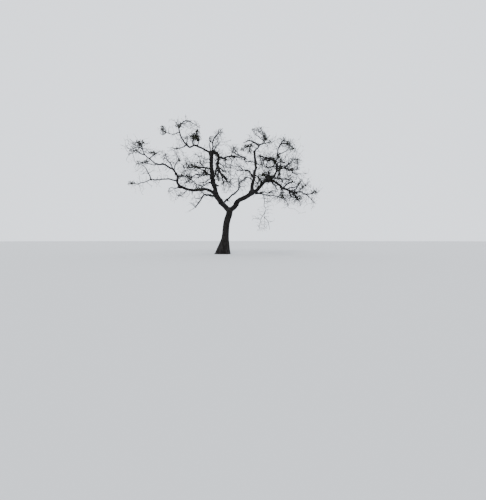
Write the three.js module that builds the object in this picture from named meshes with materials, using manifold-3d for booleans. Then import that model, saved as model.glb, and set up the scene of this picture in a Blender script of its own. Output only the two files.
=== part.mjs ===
// A bare, wide-headed thorn tree that stands in open ground: one leaning trunk with a root flare,
// a low fork into two main boughs, the limbs that spread from them, and the thin masses of fine
// twigs at their ends. Millimetres, +Z up. The origin is the middle of the trunk's flat cut at
// ground level. +X is the right of the tree as it is usually seen, +Y is its far side.

import * as THREE from "three";
import { mergeVertices } from "three/addons/utils/BufferGeometryUtils.js";
import Module from "manifold-3d";

// ---------- driving sizes ----------

const SCALE = 1; // every length below is multiplied by this
const GAP = 0.35; // clear space between a piece and the piece that cuts it

const TRUNK_DIAMETER = 278; // above the flare
const TRUNK_TOP_DIAMETER = 268; // just under the fork
const TRUNK_LEGS = [[1120, 25, 88], [290, 6, 80], [240, 3, 72], [260, 7, 82]]; // [length, bearing, rise]
const FLARE_EXTRA = 285; // how much wider the foot is than the trunk, across
const FLARE_HEIGHT = 520; // where the flare has fallen to about a third
const FLARE_POWER = 2.2;
const FLARE_ROUND = 0.2; // share of the flare that is the same all round, between the buttresses
const TOE = 0.36; // how much further, as a share, the very foot spreads where it meets the ground
const TOE_HEIGHT = 85; // where the toe has fallen to about a third
const ROOT_LOBES = [ // the buttresses of the flare: [bearing, strength, half width in degrees]
  [186, 1.52, 30],
  [128, 0.7, 20],
  [62, 0.55, 20],
  [-12, 0.32, 22],
  [-66, 0.75, 20],
  [-124, 0.85, 22],
];

const TRUNK_SIDES = 16;
const BOUGH_SIDES = 8; // limbs over THICK across at their base
const LIMB_SIDES = 6;
const THICK = 100;
const ROWS_PER_METRE = 3; // rings along a limb
const COLLAR = 0.22; // how much a limb swells where it leaves its parent
const FORK_COLLAR = 0.05; // the same for the two main boughs, which leave the trunk in a sharp fork
const UNEVEN = 0.05; // share of the radius by which bark and knots vary

// Each limb leaves its parent's middle line at a share of the parent's length, and is made of
// straight growing seasons, told as [length, bearing, rise]: bearing 0 is +X, 90 is +Y, and rise is
// the angle above level. thick is its diameter at the base and at the tip.
const LIMBS = [
  { name: "left_main_bough", on: "trunk", at: 0.94, thick: [215, 209], legs: [[270, 162, 48], [370, -174, 43], [360, 149, 59]] },
  { name: "left_upper_bough", on: "left_main_bough", at: 0.97, thick: [167, 166], legs: [[920, 132, 75], [860, 146, 86]] },
  { name: "arch_bough", on: "left_upper_bough", at: 0.95, thick: [115, 80], legs: [[160, -35, 17], [150, -36, -10], [190, -50, -51], [190, -95, -73], [210, -136, -88], [220, -58, -65], [570, -65, -40]] },
  { name: "arch_side_limb", on: "arch_bough", at: 0.3, thick: [83, 54], legs: [[570, 82, 9], [470, 72, 11], [420, 64, 24], [940, 74, 13]] },
  { name: "top_left_bough", on: "left_upper_bough", at: 0.97, thick: [89, 41], legs: [[670, -143, 17], [190, -138, -1], [260, -131, -23], [580, -112, 22], [450, -94, 36]] },
  { name: "top_far_left_limb", on: "top_left_bough", at: 0.89, thick: [34, 24], legs: [[540, 135, 6], [410, 160, 21]] },
  { name: "top_knot_limb", on: "top_left_bough", at: 0.4, thick: [53, 36], legs: [[850, 104, 27], [720, 91, 30]] },
  { name: "crown_leader", on: "left_upper_bough", at: 0.97, thick: [68, 31], legs: [[400, 80, 51], [220, 121, 76], [210, 12, 68], [380, 64, 46]] },
  { name: "left_middle_limb", on: "left_upper_bough", at: 0.63, thick: [81, 40], legs: [[750, 124, 13], [460, 148, 10], [1580, 121, 11]] },
  { name: "left_front_limb", on: "left_upper_bough", at: 0.43, thick: [80, 26], legs: [[1160, -99, -5], [790, -93, -19], [420, -108, -12], [180, -153, -16], [480, -113, -11]] },
  { name: "left_back_limb", on: "left_upper_bough", at: 0.29, thick: [55, 32], legs: [[230, 152, -5], [510, 122, -4], [480, 132, 13], [490, 139, 32]] },
  { name: "low_left_bough", on: "left_main_bough", at: 0.97, thick: [117, 106], legs: [[570, 171, 20], [460, 170, -6], [590, -179, 16]] },
  { name: "low_left_riser", on: "low_left_bough", at: 0.97, thick: [97, 66], legs: [[240, -136, 60], [210, -120, 83], [170, 174, 63], [190, -170, 49], [450, -154, 24]] },
  { name: "far_left_limb", on: "low_left_riser", at: 0.97, thick: [62, 30], legs: [[230, -164, -14], [200, -121, 22], [450, -108, 11], [180, -110, 18], [440, -99, 44]] },
  { name: "far_left_low_limb", on: "far_left_limb", at: 0.15, thick: [45, 26], legs: [[380, 131, 7], [210, 171, 16], [790, 136, 14]] },
  { name: "left_level_limb", on: "low_left_riser", at: 0.22, thick: [63, 31], legs: [[520, 174, 8], [410, 164, -2], [330, 150, 11], [340, 150, -14], [390, 168, -9], [310, 177, 1]] },
  { name: "left_drooping_limb", on: "left_main_bough", at: 0.84, thick: [96, 63], legs: [[470, -115, -7], [630, -105, -5], [230, -112, -22], [370, 179, -57], [140, -119, -46]] },
  { name: "centre_limb", on: "left_main_bough", at: 0.46, thick: [79, 52], legs: [[440, 68, 27], [540, 41, 36], [480, 63, 33], [640, 84, 36], [480, 46, 28]] },
  { name: "right_main_bough", on: "trunk", at: 0.95, thick: [211, 165], legs: [[300, -28, 33], [150, -44, 58], [150, -15, 44], [390, -4, 25], [290, -26, 37]] },
  { name: "right_upright_bough", on: "right_main_bough", at: 0.97, thick: [141, 81], legs: [[290, 91, 82], [970, 70, 62], [400, 129, 79], [280, 87, 67]] },
  { name: "right_top_limb", on: "right_upright_bough", at: 0.97, thick: [68, 39], legs: [[400, -57, 33], [410, -70, -7], [470, -82, 3]] },
  { name: "right_top_left_limb", on: "right_top_limb", at: 0.28, thick: [37, 27], legs: [[320, 122, 38], [520, 113, 11], [570, 107, 4]] },
  { name: "right_inner_limb", on: "right_upright_bough", at: 0.34, thick: [66, 58], legs: [[780, 108, 31], [780, 107, 16], [810, 113, 12]] },
  { name: "right_far_back_limb", on: "right_upright_bough", at: 0.73, thick: [46, 30], legs: [[640, 108, 16], [340, 127, 11], [300, 107, 44], [720, 109, 25], [850, 104, 30]] },
  { name: "right_leaning_bough", on: "right_main_bough", at: 0.97, thick: [153, 115], legs: [[280, -46, 8], [210, -25, 48], [240, -52, 30], [240, -54, 7]] },
  { name: "right_front_limb", on: "right_leaning_bough", at: 0.85, thick: [77, 32], legs: [[380, -65, 9], [1370, -77, -14], [320, -61, -10]] },
  { name: "right_riser", on: "right_leaning_bough", at: 0.97, thick: [88, 66], legs: [[250, 32, 29], [660, 65, 38], [530, 98, 57]] },
  { name: "right_crown_limb", on: "right_riser", at: 0.97, thick: [58, 29], legs: [[340, -77, 17], [580, -97, 3], [550, -86, 8], [180, -50, 7]] },
  { name: "right_back_limb", on: "right_riser", at: 0.94, thick: [86, 60], legs: [[1200, 93, 20], [1650, 103, 19]] },
  { name: "right_cross_limb", on: "right_upright_bough", at: 0.42, thick: [54, 29], legs: [[350, -65, -25], [1290, -81, -19]] },
  { name: "right_middle_limb", on: "right_riser", at: 0.7, thick: [65, 41], legs: [[510, 43, 11], [910, 61, 6], [430, 49, 19]] },
  { name: "right_low_bough", on: "right_leaning_bough", at: 0.97, thick: [88, 64], legs: [[290, 25, -3], [570, 15, -29], [460, 30, -13]] },
  { name: "right_far_tip_limb", on: "right_low_bough", at: 0.97, thick: [64, 42], legs: [[320, 24, 8], [410, 51, -6], [290, 15, 6]] },
  { name: "right_low_drop_limb", on: "right_low_bough", at: 0.84, thick: [56, 42], legs: [[2090, 73, 1]] },
  { name: "right_low_front_limb", on: "right_low_bough", at: 0.5, thick: [55, 26], legs: [[870, -96, -23], [1190, -97, -16]] },
  { name: "right_under_limb", on: "right_main_bough", at: 0.97, thick: [101, 40], legs: [[490, -65, -14], [450, -66, -4], [600, -53, -6]] },
  { name: "hanging_twig", on: "right_under_limb", at: 0.56, thick: [30, 15], legs: [[260, 39, -62], [300, -57, -88], [130, -42, -58], [190, -135, -63], [600, 80, -81]] },
];

// Each mass of fine twigs sits round the end of its limb. off is [distance, bearing, rise] from the
// limb's tip to the mass's middle, half is its half size to the side, in depth and in height, and
// turn is how far it leans, in degrees about the depth.
const MASSES = [
  { name: "far_left_crown_mass", on: "far_left_limb", off: [190, -132, -52], half: [350, 420, 150], turn: 42 },
  { name: "far_left_low_mass", on: "far_left_low_limb", off: [90, 67, 18], half: [290, 360, 120], turn: 2 },
  { name: "left_level_mass", on: "left_level_limb", off: [10, 45, 53], half: [200, 320, 110], turn: 4 },
  { name: "top_far_left_mass", on: "top_far_left_limb", off: [80, 121, 58], half: [150, 300, 200], turn: 10 },
  { name: "top_left_mass", on: "top_left_bough", off: [390, -14, 3], half: [450, 380, 150], turn: 3 },
  { name: "top_knot_mass", on: "top_knot_limb", off: [170, 61, 45], half: [250, 420, 240], turn: 25 },
  { name: "crown_top_mass", on: "crown_leader", off: [80, 74, -16], half: [360, 340, 190], turn: 66 },
  { name: "arch_end_mass", on: "arch_bough", off: [140, -51, -42], half: [260, 360, 200], turn: -25 },
  { name: "arch_side_mass", on: "arch_side_limb", off: [130, 104, 23], half: [230, 420, 160], turn: 0 },
  { name: "left_middle_mass", on: "left_middle_limb", off: [190, 43, 37], half: [300, 420, 200], turn: -10 },
  { name: "left_front_mass", on: "left_front_limb", off: [140, -66, -33], half: [200, 340, 140], turn: 5 },
  { name: "left_back_mass", on: "left_back_limb", off: [130, 144, 32], half: [240, 460, 180], turn: -20 },
  { name: "right_top_left_mass", on: "right_top_left_limb", off: [110, 91, 5], half: [290, 400, 210], turn: 15 },
  { name: "right_top_mass", on: "right_top_limb", off: [230, -140, 36], half: [320, 380, 170], turn: 122 },
  { name: "right_crown_mass", on: "right_crown_limb", off: [170, -33, -17], half: [280, 420, 170], turn: -18 },
  { name: "right_back_mass", on: "right_back_limb", off: [110, 99, -4], half: [260, 500, 210], turn: 0 },
  { name: "right_middle_mass", on: "right_middle_limb", off: [220, 94, 67], half: [250, 460, 260], turn: 0 },
  { name: "right_front_mass", on: "right_front_limb", off: [110, -81, -11], half: [210, 400, 130], turn: 0 },
  { name: "right_low_mass", on: "right_low_drop_limb", off: [140, 57, -9], half: [230, 340, 140], turn: -5 },
  { name: "right_far_tip_mass", on: "right_far_tip_limb", off: [130, 15, 17], half: [180, 280, 110], turn: 5 },
  { name: "right_low_front_mass", on: "right_low_front_limb", off: [150, -72, -39], half: [150, 340, 180], turn: 20 },
  { name: "right_far_back_mass", on: "right_far_back_limb", off: [170, 122, 46], half: [270, 460, 230], turn: 30 },
];
const MASS_LUMPS = 0.3; // share of its size by which a mass is uneven
const LARGE = 290; // a mass with a half size over this has finer faces

const TRUNK_BARK = { color: 0x3a322c, roughness: 0.95, metalness: 0 };
const BOUGH_BARK = { color: 0x37332f, roughness: 0.95, metalness: 0 };
const LIMB_BARK = { color: 0x403c38, roughness: 0.92, metalness: 0 };
const TWIGS = { color: 0x4a4a3c, roughness: 0.9, metalness: 0 };

// ---------- helpers ----------

const wasm = await Module();
wasm.setup();

const rad = THREE.MathUtils.degToRad;

/** A repeatable stream of numbers from 0 to 1. */
function chance(seed) {
  let a = (seed * 2654435761) >>> 0;
  return () => {
    a = (a + 0x6d2b79f5) >>> 0;
    let t = a;
    t = Math.imul(t ^ (t >>> 15), t | 1);
    t ^= t + Math.imul(t ^ (t >>> 7), t | 61);
    return ((t ^ (t >>> 14)) >>> 0) / 4294967296;
  };
}

/** The step of one leg, as a vector. */
function leg([length, bearing, rise]) {
  const b = rad(bearing), r = rad(rise);
  return new THREE.Vector3(Math.cos(b) * Math.cos(r), Math.sin(b) * Math.cos(r), Math.sin(r)).multiplyScalar(length * SCALE);
}

/** The smooth middle line through the ends of the legs. */
function middleLine(start, legs) {
  const points = [start.clone()];
  for (const l of legs) points.push(points[points.length - 1].clone().add(leg(l)));
  if (points.length === 2) points.splice(1, 0, points[0].clone().lerp(points[1], 0.5));
  const curve = new THREE.CatmullRomCurve3(points, false, "centripetal");
  curve.arcLengthDivisions = 400;
  return curve;
}

/** Cross directions at each share of a curve, carried along it so that they don't spin. */
function carried(curve, shares) {
  const out = [];
  let side = null;
  for (const s of shares) {
    const along = curve.getTangentAt(s);
    if (!side) side = Math.abs(along.z) > 0.9 ? new THREE.Vector3(1, 0, 0) : new THREE.Vector3(0, 0, 1);
    side = side.clone().addScaledVector(along, -side.dot(along)).normalize();
    out.push({ middle: curve.getPointAt(s), along, side, up: along.clone().cross(side).normalize() });
  }
  return out;
}

/**
 * A closed limb: a lathe-turned taper, bent along its middle line. rows is a list of
 * { at, r } from one end to the other, both ends on the axis, and shape(k, angle) is the
 * share by which ring k is wider or narrower at an angle about the line. grow moves both ends out.
 */
function turnedAlong(curve, rows, sides, shape = () => 1, grow = 0) {
  const lathe = new THREE.LatheGeometry(rows.map((row, k) => new THREE.Vector2(row.r, k)), sides);
  const frames = carried(curve, rows.map((row) => row.at));
  const last = rows.length - 1;
  frames.forEach((f, k) => f.middle.addScaledVector(f.along, k < 2 ? -grow : k > last - 2 ? grow : 0));
  const place = lathe.getAttribute("position");
  const v = new THREE.Vector3();
  for (let i = 0; i < place.count; i++) {
    v.fromBufferAttribute(place, i);
    const k = Math.round(v.y);
    const f = frames[k];
    const wide = v.x === 0 && v.z === 0 ? 0 : shape(k, Math.atan2(v.z, v.x), f);
    const p = f.middle.clone().addScaledVector(f.side, v.x * wide).addScaledVector(f.up, v.z * wide);
    place.setXYZ(i, p.x, p.y, p.z);
  }
  return closed(lathe);
}

/** Merges shared corners, drops faces without area and turns the faces outward. */
function closed(geometry) {
  geometry.deleteAttribute("normal");
  geometry.deleteAttribute("uv");
  const merged = mergeVertices(geometry, 1e-3);
  const index = [];
  const old = merged.index.array;
  for (let i = 0; i < old.length; i += 3) {
    const [a, b, c] = [old[i], old[i + 1], old[i + 2]];
    if (a !== b && b !== c && c !== a) index.push(a, b, c);
  }
  const p = merged.getAttribute("position");
  const [a, b, c] = [new THREE.Vector3(), new THREE.Vector3(), new THREE.Vector3()];
  let volume = 0;
  for (let i = 0; i < index.length; i += 3) {
    a.fromBufferAttribute(p, index[i]);
    b.fromBufferAttribute(p, index[i + 1]);
    c.fromBufferAttribute(p, index[i + 2]);
    volume += a.dot(b.cross(c));
  }
  if (volume < 0) for (let i = 0; i < index.length; i += 3) [index[i], index[i + 1]] = [index[i + 1], index[i]];
  merged.setIndex(index);
  return merged;
}

function solidOf(geometry) {
  return new wasm.Manifold(new wasm.Mesh({
    numProp: 3,
    vertProperties: Float32Array.from(geometry.getAttribute("position").array),
    triVerts: Uint32Array.from(geometry.index.array),
  }));
}

function geometryOf(solid) {
  const mesh = solid.getMesh();
  const geometry = new THREE.BufferGeometry();
  const places = new Float32Array(mesh.numVert * 3);
  for (let i = 0; i < mesh.numVert; i++) {
    for (let k = 0; k < 3; k++) places[i * 3 + k] = mesh.vertProperties[i * mesh.numProp + k];
  }
  geometry.setAttribute("position", new THREE.BufferAttribute(places, 3));
  geometry.setIndex(new THREE.BufferAttribute(Uint32Array.from(mesh.triVerts), 1));
  geometry.computeVertexNormals();
  return geometry;
}

/** The largest of the pieces that a cut leaves. */
function largest(solid) {
  const pieces = solid.decompose();
  return pieces.reduce((best, piece) => (piece.volume() > best.volume() ? piece : best), pieces[0]);
}

function meets(a, b, room = 2) {
  const p = a.boundingBox(), q = b.boundingBox();
  return [0, 1, 2].every((k) => p.min[k] < q.max[k] + room && q.min[k] < p.max[k] + room);
}

// ---------- trunk ----------

/** How much the flare adds to the radius at a height and a bearing. */
function flare(z, bearing) {
  const up = Math.max(0, z) / SCALE;
  const share = Math.exp(-Math.pow(up / FLARE_HEIGHT, FLARE_POWER)) + TOE * Math.exp(-up / TOE_HEIGHT);
  let lobes = FLARE_ROUND;
  for (const [middle, strength, wide] of ROOT_LOBES) {
    const off = THREE.MathUtils.euclideanModulo(bearing - middle + 180, 360) - 180;
    lobes += strength * Math.exp(-(off * off) / (wide * wide));
  }
  return (FLARE_EXTRA * SCALE / 2) * share * lobes;
}

function trunkShape(grow) {
  const curve = middleLine(new THREE.Vector3(), TRUNK_LEGS);
  const low = [0, 0.018, 0.045, 0.085, 0.14, 0.21, 0.3, 0.41, 0.53, 0.65, 0.77, 0.88, 0.95];
  const r = (s) => (THREE.MathUtils.lerp(TRUNK_DIAMETER, TRUNK_TOP_DIAMETER, s) * SCALE) / 2;
  const rows = [{ at: 0, r: 0 }, ...low.map((s) => ({ at: s, r: r(s) + grow })), { at: 0.985, r: r(1) * 0.72 + grow }, { at: 1, r: 0 }];
  const jitter = chance(7);
  const lumps = Array.from({ length: 4 }, (_, k) => [k + 2, jitter() * 6.28, (UNEVEN * (0.5 + jitter())) / (k + 1)]);
  const geometry = turnedAlong(curve, rows, TRUNK_SIDES, (k, angle, f) => {
    const across = f.side.clone().multiplyScalar(Math.cos(angle)).addScaledVector(f.up, Math.sin(angle));
    const bearing = THREE.MathUtils.radToDeg(Math.atan2(across.y, across.x));
    let wide = 1 + flare(f.middle.z, bearing) / rows[k].r;
    for (const [n, phase, much] of lumps) wide += much * Math.cos(n * angle + phase + rows[k].at * 5);
    return wide;
  }, grow);
  // the foot is cut flat at ground level
  const place = geometry.getAttribute("position");
  const foot = r(0) * 0.5;
  for (let i = 0; i < place.count; i++) if (place.getZ(i) < foot * 0.25) place.setZ(i, 0);
  return { curve, geometry, end: r(1) };
}

// ---------- limbs ----------

function limbShape(limb, start, grow, seed) {
  const curve = middleLine(start, limb.legs);
  const length = curve.getLength();
  const [base, tip] = limb.thick.map((d) => (d * SCALE) / 2);
  const rings = Math.max(4, Math.round((length / 1000) * ROWS_PER_METRE) + limb.legs.length);
  const rows = [{ at: 0, r: 0 }];
  for (let k = 0; k <= rings; k++) {
    const s = (k / rings) * (1 - Math.min(0.06, (0.8 * tip) / length));
    const collar = 1 + (limb.on === "trunk" ? FORK_COLLAR : COLLAR) * Math.exp(-(s * length) / (2.2 * base));
    rows.push({ at: s, r: THREE.MathUtils.lerp(base, tip, Math.pow(s, 0.85)) * collar + grow });
  }
  rows.push({ at: 1, r: 0 });
  const jitter = chance(seed);
  const lumps = rows.map(() => 1 + UNEVEN * (jitter() * 2 - 1));
  const phase = jitter() * 6.28;
  return { curve, geometry: turnedAlong(curve, rows, limb.thick[0] > THICK ? BOUGH_SIDES : LIMB_SIDES, (k, angle) => lumps[k] * (1 + 0.05 * Math.cos(2 * angle + phase)), grow) };
}

// ---------- masses of twigs ----------

function massShape(mass, middle, grow, seed) {
  const half = mass.half.map((h) => h * SCALE + grow);
  const ball = new THREE.IcosahedronGeometry(1, mass.half[0] > LARGE ? 2 : 1);
  const jitter = chance(seed);
  const lumps = Array.from({ length: 9 }, (_, k) => ({
    way: new THREE.Vector3(jitter() * 2 - 1, jitter() * 2 - 1, jitter() * 2 - 1).normalize(),
    much: MASS_LUMPS * (k % 2 ? -1 : 1) * (0.5 + jitter()),
  }));
  const place = ball.getAttribute("position");
  const v = new THREE.Vector3();
  for (let i = 0; i < place.count; i++) {
    v.fromBufferAttribute(place, i).normalize();
    let wide = 1;
    for (const { way, much } of lumps) wide += much * Math.pow(Math.max(0, v.dot(way)), 5);
    place.setXYZ(i, v.x * wide * half[0], v.y * wide * half[1], v.z * wide * half[2]);
  }
  ball.rotateY(-rad(mass.turn));
  ball.translate(middle.x, middle.y, middle.z);
  return closed(ball);
}

// ---------- the tree ----------

const pieces = []; // { name, solid, look }, in the order in which they cut each other
const lines = new Map();
const grown = new Map(); // each piece made GAP larger, to cut its neighbours

const trunk = trunkShape(0);
lines.set("trunk", trunk.curve);
pieces.push({ name: "trunk", solid: solidOf(trunk.geometry), look: TRUNK_BARK });
grown.set("trunk", solidOf(trunkShape(GAP).geometry));

LIMBS.forEach((limb, k) => {
  const start = lines.get(limb.on).getPointAt(limb.at);
  const { curve, geometry } = limbShape(limb, start, 0, k + 11);
  lines.set(limb.name, curve);
  let solid = solidOf(geometry);
  for (const [, other] of grown) if (meets(solid, other)) solid = largest(solid.subtract(other));
  grown.set(limb.name, solidOf(limbShape(limb, start, GAP, k + 11).geometry));
  pieces.push({ name: limb.name, solid, look: limb.thick[0] > THICK ? BOUGH_BARK : LIMB_BARK });
});

MASSES.forEach((mass, k) => {
  const middle = lines.get(mass.on).getPointAt(1).add(leg(mass.off));
  let solid = solidOf(massShape(mass, middle, 0, k + 101));
  const swollen = solidOf(massShape(mass, middle, GAP, k + 101));
  // the limb that carries the mass ends where it enters it, and the mass is cut round all others
  const carrier = pieces.find((piece) => piece.name === mass.on);
  carrier.solid = largest(carrier.solid.subtract(swollen));
  for (const [name, other] of grown) if (name !== mass.on && meets(solid, other)) solid = largest(solid.subtract(other));
  grown.set(mass.name, swollen);
  pieces.push({ name: mass.name, solid, look: TWIGS });
});

const tree = new THREE.Group();
for (const { name, solid, look } of pieces) {
  const mesh = new THREE.Mesh(geometryOf(solid), new THREE.MeshStandardMaterial(look));
  mesh.name = name;
  tree.add(mesh);
}

export default tree;
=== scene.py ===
"""The looks of a bare thorn tree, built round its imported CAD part. Metres, +Z up.

The wood is one skin with bark in relief: rings of corners round the middle line of the trunk and of every
limb are pushed out until they lie on the smooth union of all the limbs, so forks and collars are filleted.
Twigs then grow on from the limbs into each mass by a seeded rule, with small withered leaves at their ends.
"""

import math

import bpy
import numpy as np
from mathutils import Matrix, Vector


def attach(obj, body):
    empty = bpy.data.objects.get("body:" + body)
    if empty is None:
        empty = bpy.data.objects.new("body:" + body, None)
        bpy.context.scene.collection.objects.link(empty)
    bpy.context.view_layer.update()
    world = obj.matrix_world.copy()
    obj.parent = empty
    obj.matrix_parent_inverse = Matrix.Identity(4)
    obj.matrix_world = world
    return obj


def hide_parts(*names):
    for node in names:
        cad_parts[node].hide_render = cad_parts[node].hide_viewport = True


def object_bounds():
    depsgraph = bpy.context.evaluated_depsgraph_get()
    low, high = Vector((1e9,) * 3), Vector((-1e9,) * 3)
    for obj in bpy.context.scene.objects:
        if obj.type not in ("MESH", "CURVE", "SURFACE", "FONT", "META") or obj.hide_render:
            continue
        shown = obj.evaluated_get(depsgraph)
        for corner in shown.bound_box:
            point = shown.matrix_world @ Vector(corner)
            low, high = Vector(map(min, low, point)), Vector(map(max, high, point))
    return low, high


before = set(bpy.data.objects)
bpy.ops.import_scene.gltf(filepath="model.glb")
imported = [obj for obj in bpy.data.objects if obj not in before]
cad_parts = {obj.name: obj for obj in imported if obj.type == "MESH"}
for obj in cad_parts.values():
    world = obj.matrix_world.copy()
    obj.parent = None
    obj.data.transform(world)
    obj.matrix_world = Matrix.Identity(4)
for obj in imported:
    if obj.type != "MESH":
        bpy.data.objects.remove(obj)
CAD_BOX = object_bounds()

# ---------- sizes, in millimetres and degrees, as in the part ----------

TRUNK_THICK = (278, 268)
TRUNK_LEGS = [(1120, 25, 88), (290, 6, 80), (240, 3, 72), (260, 7, 82)]
FLARE_EXTRA, FLARE_HEIGHT, FLARE_POWER, FLARE_ROUND = 0.285, 0.520, 2.2, 0.2
TOE, TOE_HEIGHT = 0.36, 0.085
ROOT_LOBES = [(186, 1.52, 30), (128, 0.7, 20), (62, 0.55, 20), (-12, 0.32, 22), (-66, 0.75, 20), (-124, 0.85, 22)]
COLLAR, FORK_COLLAR = 0.22, 0.05

# (name, on, at, (thick at the base, at the tip), legs of (length, bearing, rise))
LIMBS = [
    ("left_main_bough", "trunk", 0.94, (215, 209), [(270, 162, 48), (370, -174, 43), (360, 149, 59)]),
    ("left_upper_bough", "left_main_bough", 0.97, (167, 166), [(920, 132, 75), (860, 146, 86)]),
    ("arch_bough", "left_upper_bough", 0.95, (115, 80), [(160, -35, 17), (150, -36, -10), (190, -50, -51), (190, -95, -73), (210, -136, -88), (220, -58, -65), (570, -65, -40)]),
    ("arch_side_limb", "arch_bough", 0.3, (83, 54), [(570, 82, 9), (470, 72, 11), (420, 64, 24), (940, 74, 13)]),
    ("top_left_bough", "left_upper_bough", 0.97, (89, 41), [(670, -143, 17), (190, -138, -1), (260, -131, -23), (580, -112, 22), (450, -94, 36)]),
    ("top_far_left_limb", "top_left_bough", 0.89, (34, 24), [(540, 135, 6), (410, 160, 21)]),
    ("top_knot_limb", "top_left_bough", 0.4, (53, 36), [(850, 104, 27), (720, 91, 30)]),
    ("crown_leader", "left_upper_bough", 0.97, (68, 31), [(400, 80, 51), (220, 121, 76), (210, 12, 68), (380, 64, 46)]),
    ("left_middle_limb", "left_upper_bough", 0.63, (81, 40), [(750, 124, 13), (460, 148, 10), (1580, 121, 11)]),
    ("left_front_limb", "left_upper_bough", 0.43, (80, 26), [(1160, -99, -5), (790, -93, -19), (420, -108, -12), (180, -153, -16), (480, -113, -11)]),
    ("left_back_limb", "left_upper_bough", 0.29, (55, 32), [(230, 152, -5), (510, 122, -4), (480, 132, 13), (490, 139, 32)]),
    ("low_left_bough", "left_main_bough", 0.97, (117, 106), [(570, 171, 20), (460, 170, -6), (590, -179, 16)]),
    ("low_left_riser", "low_left_bough", 0.97, (97, 66), [(240, -136, 60), (210, -120, 83), (170, 174, 63), (190, -170, 49), (450, -154, 24)]),
    ("far_left_limb", "low_left_riser", 0.97, (62, 30), [(230, -164, -14), (200, -121, 22), (450, -108, 11), (180, -110, 18), (440, -99, 44)]),
    ("far_left_low_limb", "far_left_limb", 0.15, (45, 26), [(380, 131, 7), (210, 171, 16), (790, 136, 14)]),
    ("left_level_limb", "low_left_riser", 0.22, (63, 31), [(520, 174, 8), (410, 164, -2), (330, 150, 11), (340, 150, -14), (390, 168, -9), (310, 177, 1)]),
    ("left_drooping_limb", "left_main_bough", 0.84, (96, 63), [(470, -115, -7), (630, -105, -5), (230, -112, -22), (370, 179, -57), (140, -119, -46)]),
    ("centre_limb", "left_main_bough", 0.46, (79, 52), [(440, 68, 27), (540, 41, 36), (480, 63, 33), (640, 84, 36), (480, 46, 28)]),
    ("right_main_bough", "trunk", 0.95, (211, 165), [(300, -28, 33), (150, -44, 58), (150, -15, 44), (390, -4, 25), (290, -26, 37)]),
    ("right_upright_bough", "right_main_bough", 0.97, (141, 81), [(290, 91, 82), (970, 70, 62), (400, 129, 79), (280, 87, 67)]),
    ("right_top_limb", "right_upright_bough", 0.97, (68, 39), [(400, -57, 33), (410, -70, -7), (470, -82, 3)]),
    ("right_top_left_limb", "right_top_limb", 0.28, (37, 27), [(320, 122, 38), (520, 113, 11), (570, 107, 4)]),
    ("right_inner_limb", "right_upright_bough", 0.34, (66, 58), [(780, 108, 31), (780, 107, 16), (810, 113, 12)]),
    ("right_far_back_limb", "right_upright_bough", 0.73, (46, 30), [(640, 108, 16), (340, 127, 11), (300, 107, 44), (720, 109, 25), (850, 104, 30)]),
    ("right_leaning_bough", "right_main_bough", 0.97, (153, 115), [(280, -46, 8), (210, -25, 48), (240, -52, 30), (240, -54, 7)]),
    ("right_front_limb", "right_leaning_bough", 0.85, (77, 32), [(380, -65, 9), (1370, -77, -14), (320, -61, -10)]),
    ("right_riser", "right_leaning_bough", 0.97, (88, 66), [(250, 32, 29), (660, 65, 38), (530, 98, 57)]),
    ("right_crown_limb", "right_riser", 0.97, (58, 29), [(340, -77, 17), (580, -97, 3), (550, -86, 8), (180, -50, 7)]),
    ("right_back_limb", "right_riser", 0.94, (86, 60), [(1200, 93, 20), (1650, 103, 19)]),
    ("right_cross_limb", "right_upright_bough", 0.42, (54, 29), [(350, -65, -25), (1290, -81, -19)]),
    ("right_middle_limb", "right_riser", 0.7, (65, 41), [(510, 43, 11), (910, 61, 6), (430, 49, 19)]),
    ("right_low_bough", "right_leaning_bough", 0.97, (88, 64), [(290, 25, -3), (570, 15, -29), (460, 30, -13)]),
    ("right_far_tip_limb", "right_low_bough", 0.97, (64, 42), [(320, 24, 8), (410, 51, -6), (290, 15, 6)]),
    ("right_low_drop_limb", "right_low_bough", 0.84, (56, 42), [(2090, 73, 1)]),
    ("right_low_front_limb", "right_low_bough", 0.5, (55, 26), [(870, -96, -23), (1190, -97, -16)]),
    ("right_under_limb", "right_main_bough", 0.97, (101, 40), [(490, -65, -14), (450, -66, -4), (600, -53, -6)]),
    ("hanging_twig", "right_under_limb", 0.56, (30, 15), [(260, 39, -62), (300, -57, -88), (130, -42, -58), (190, -135, -63), (600, 80, -81)]),
]
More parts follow.
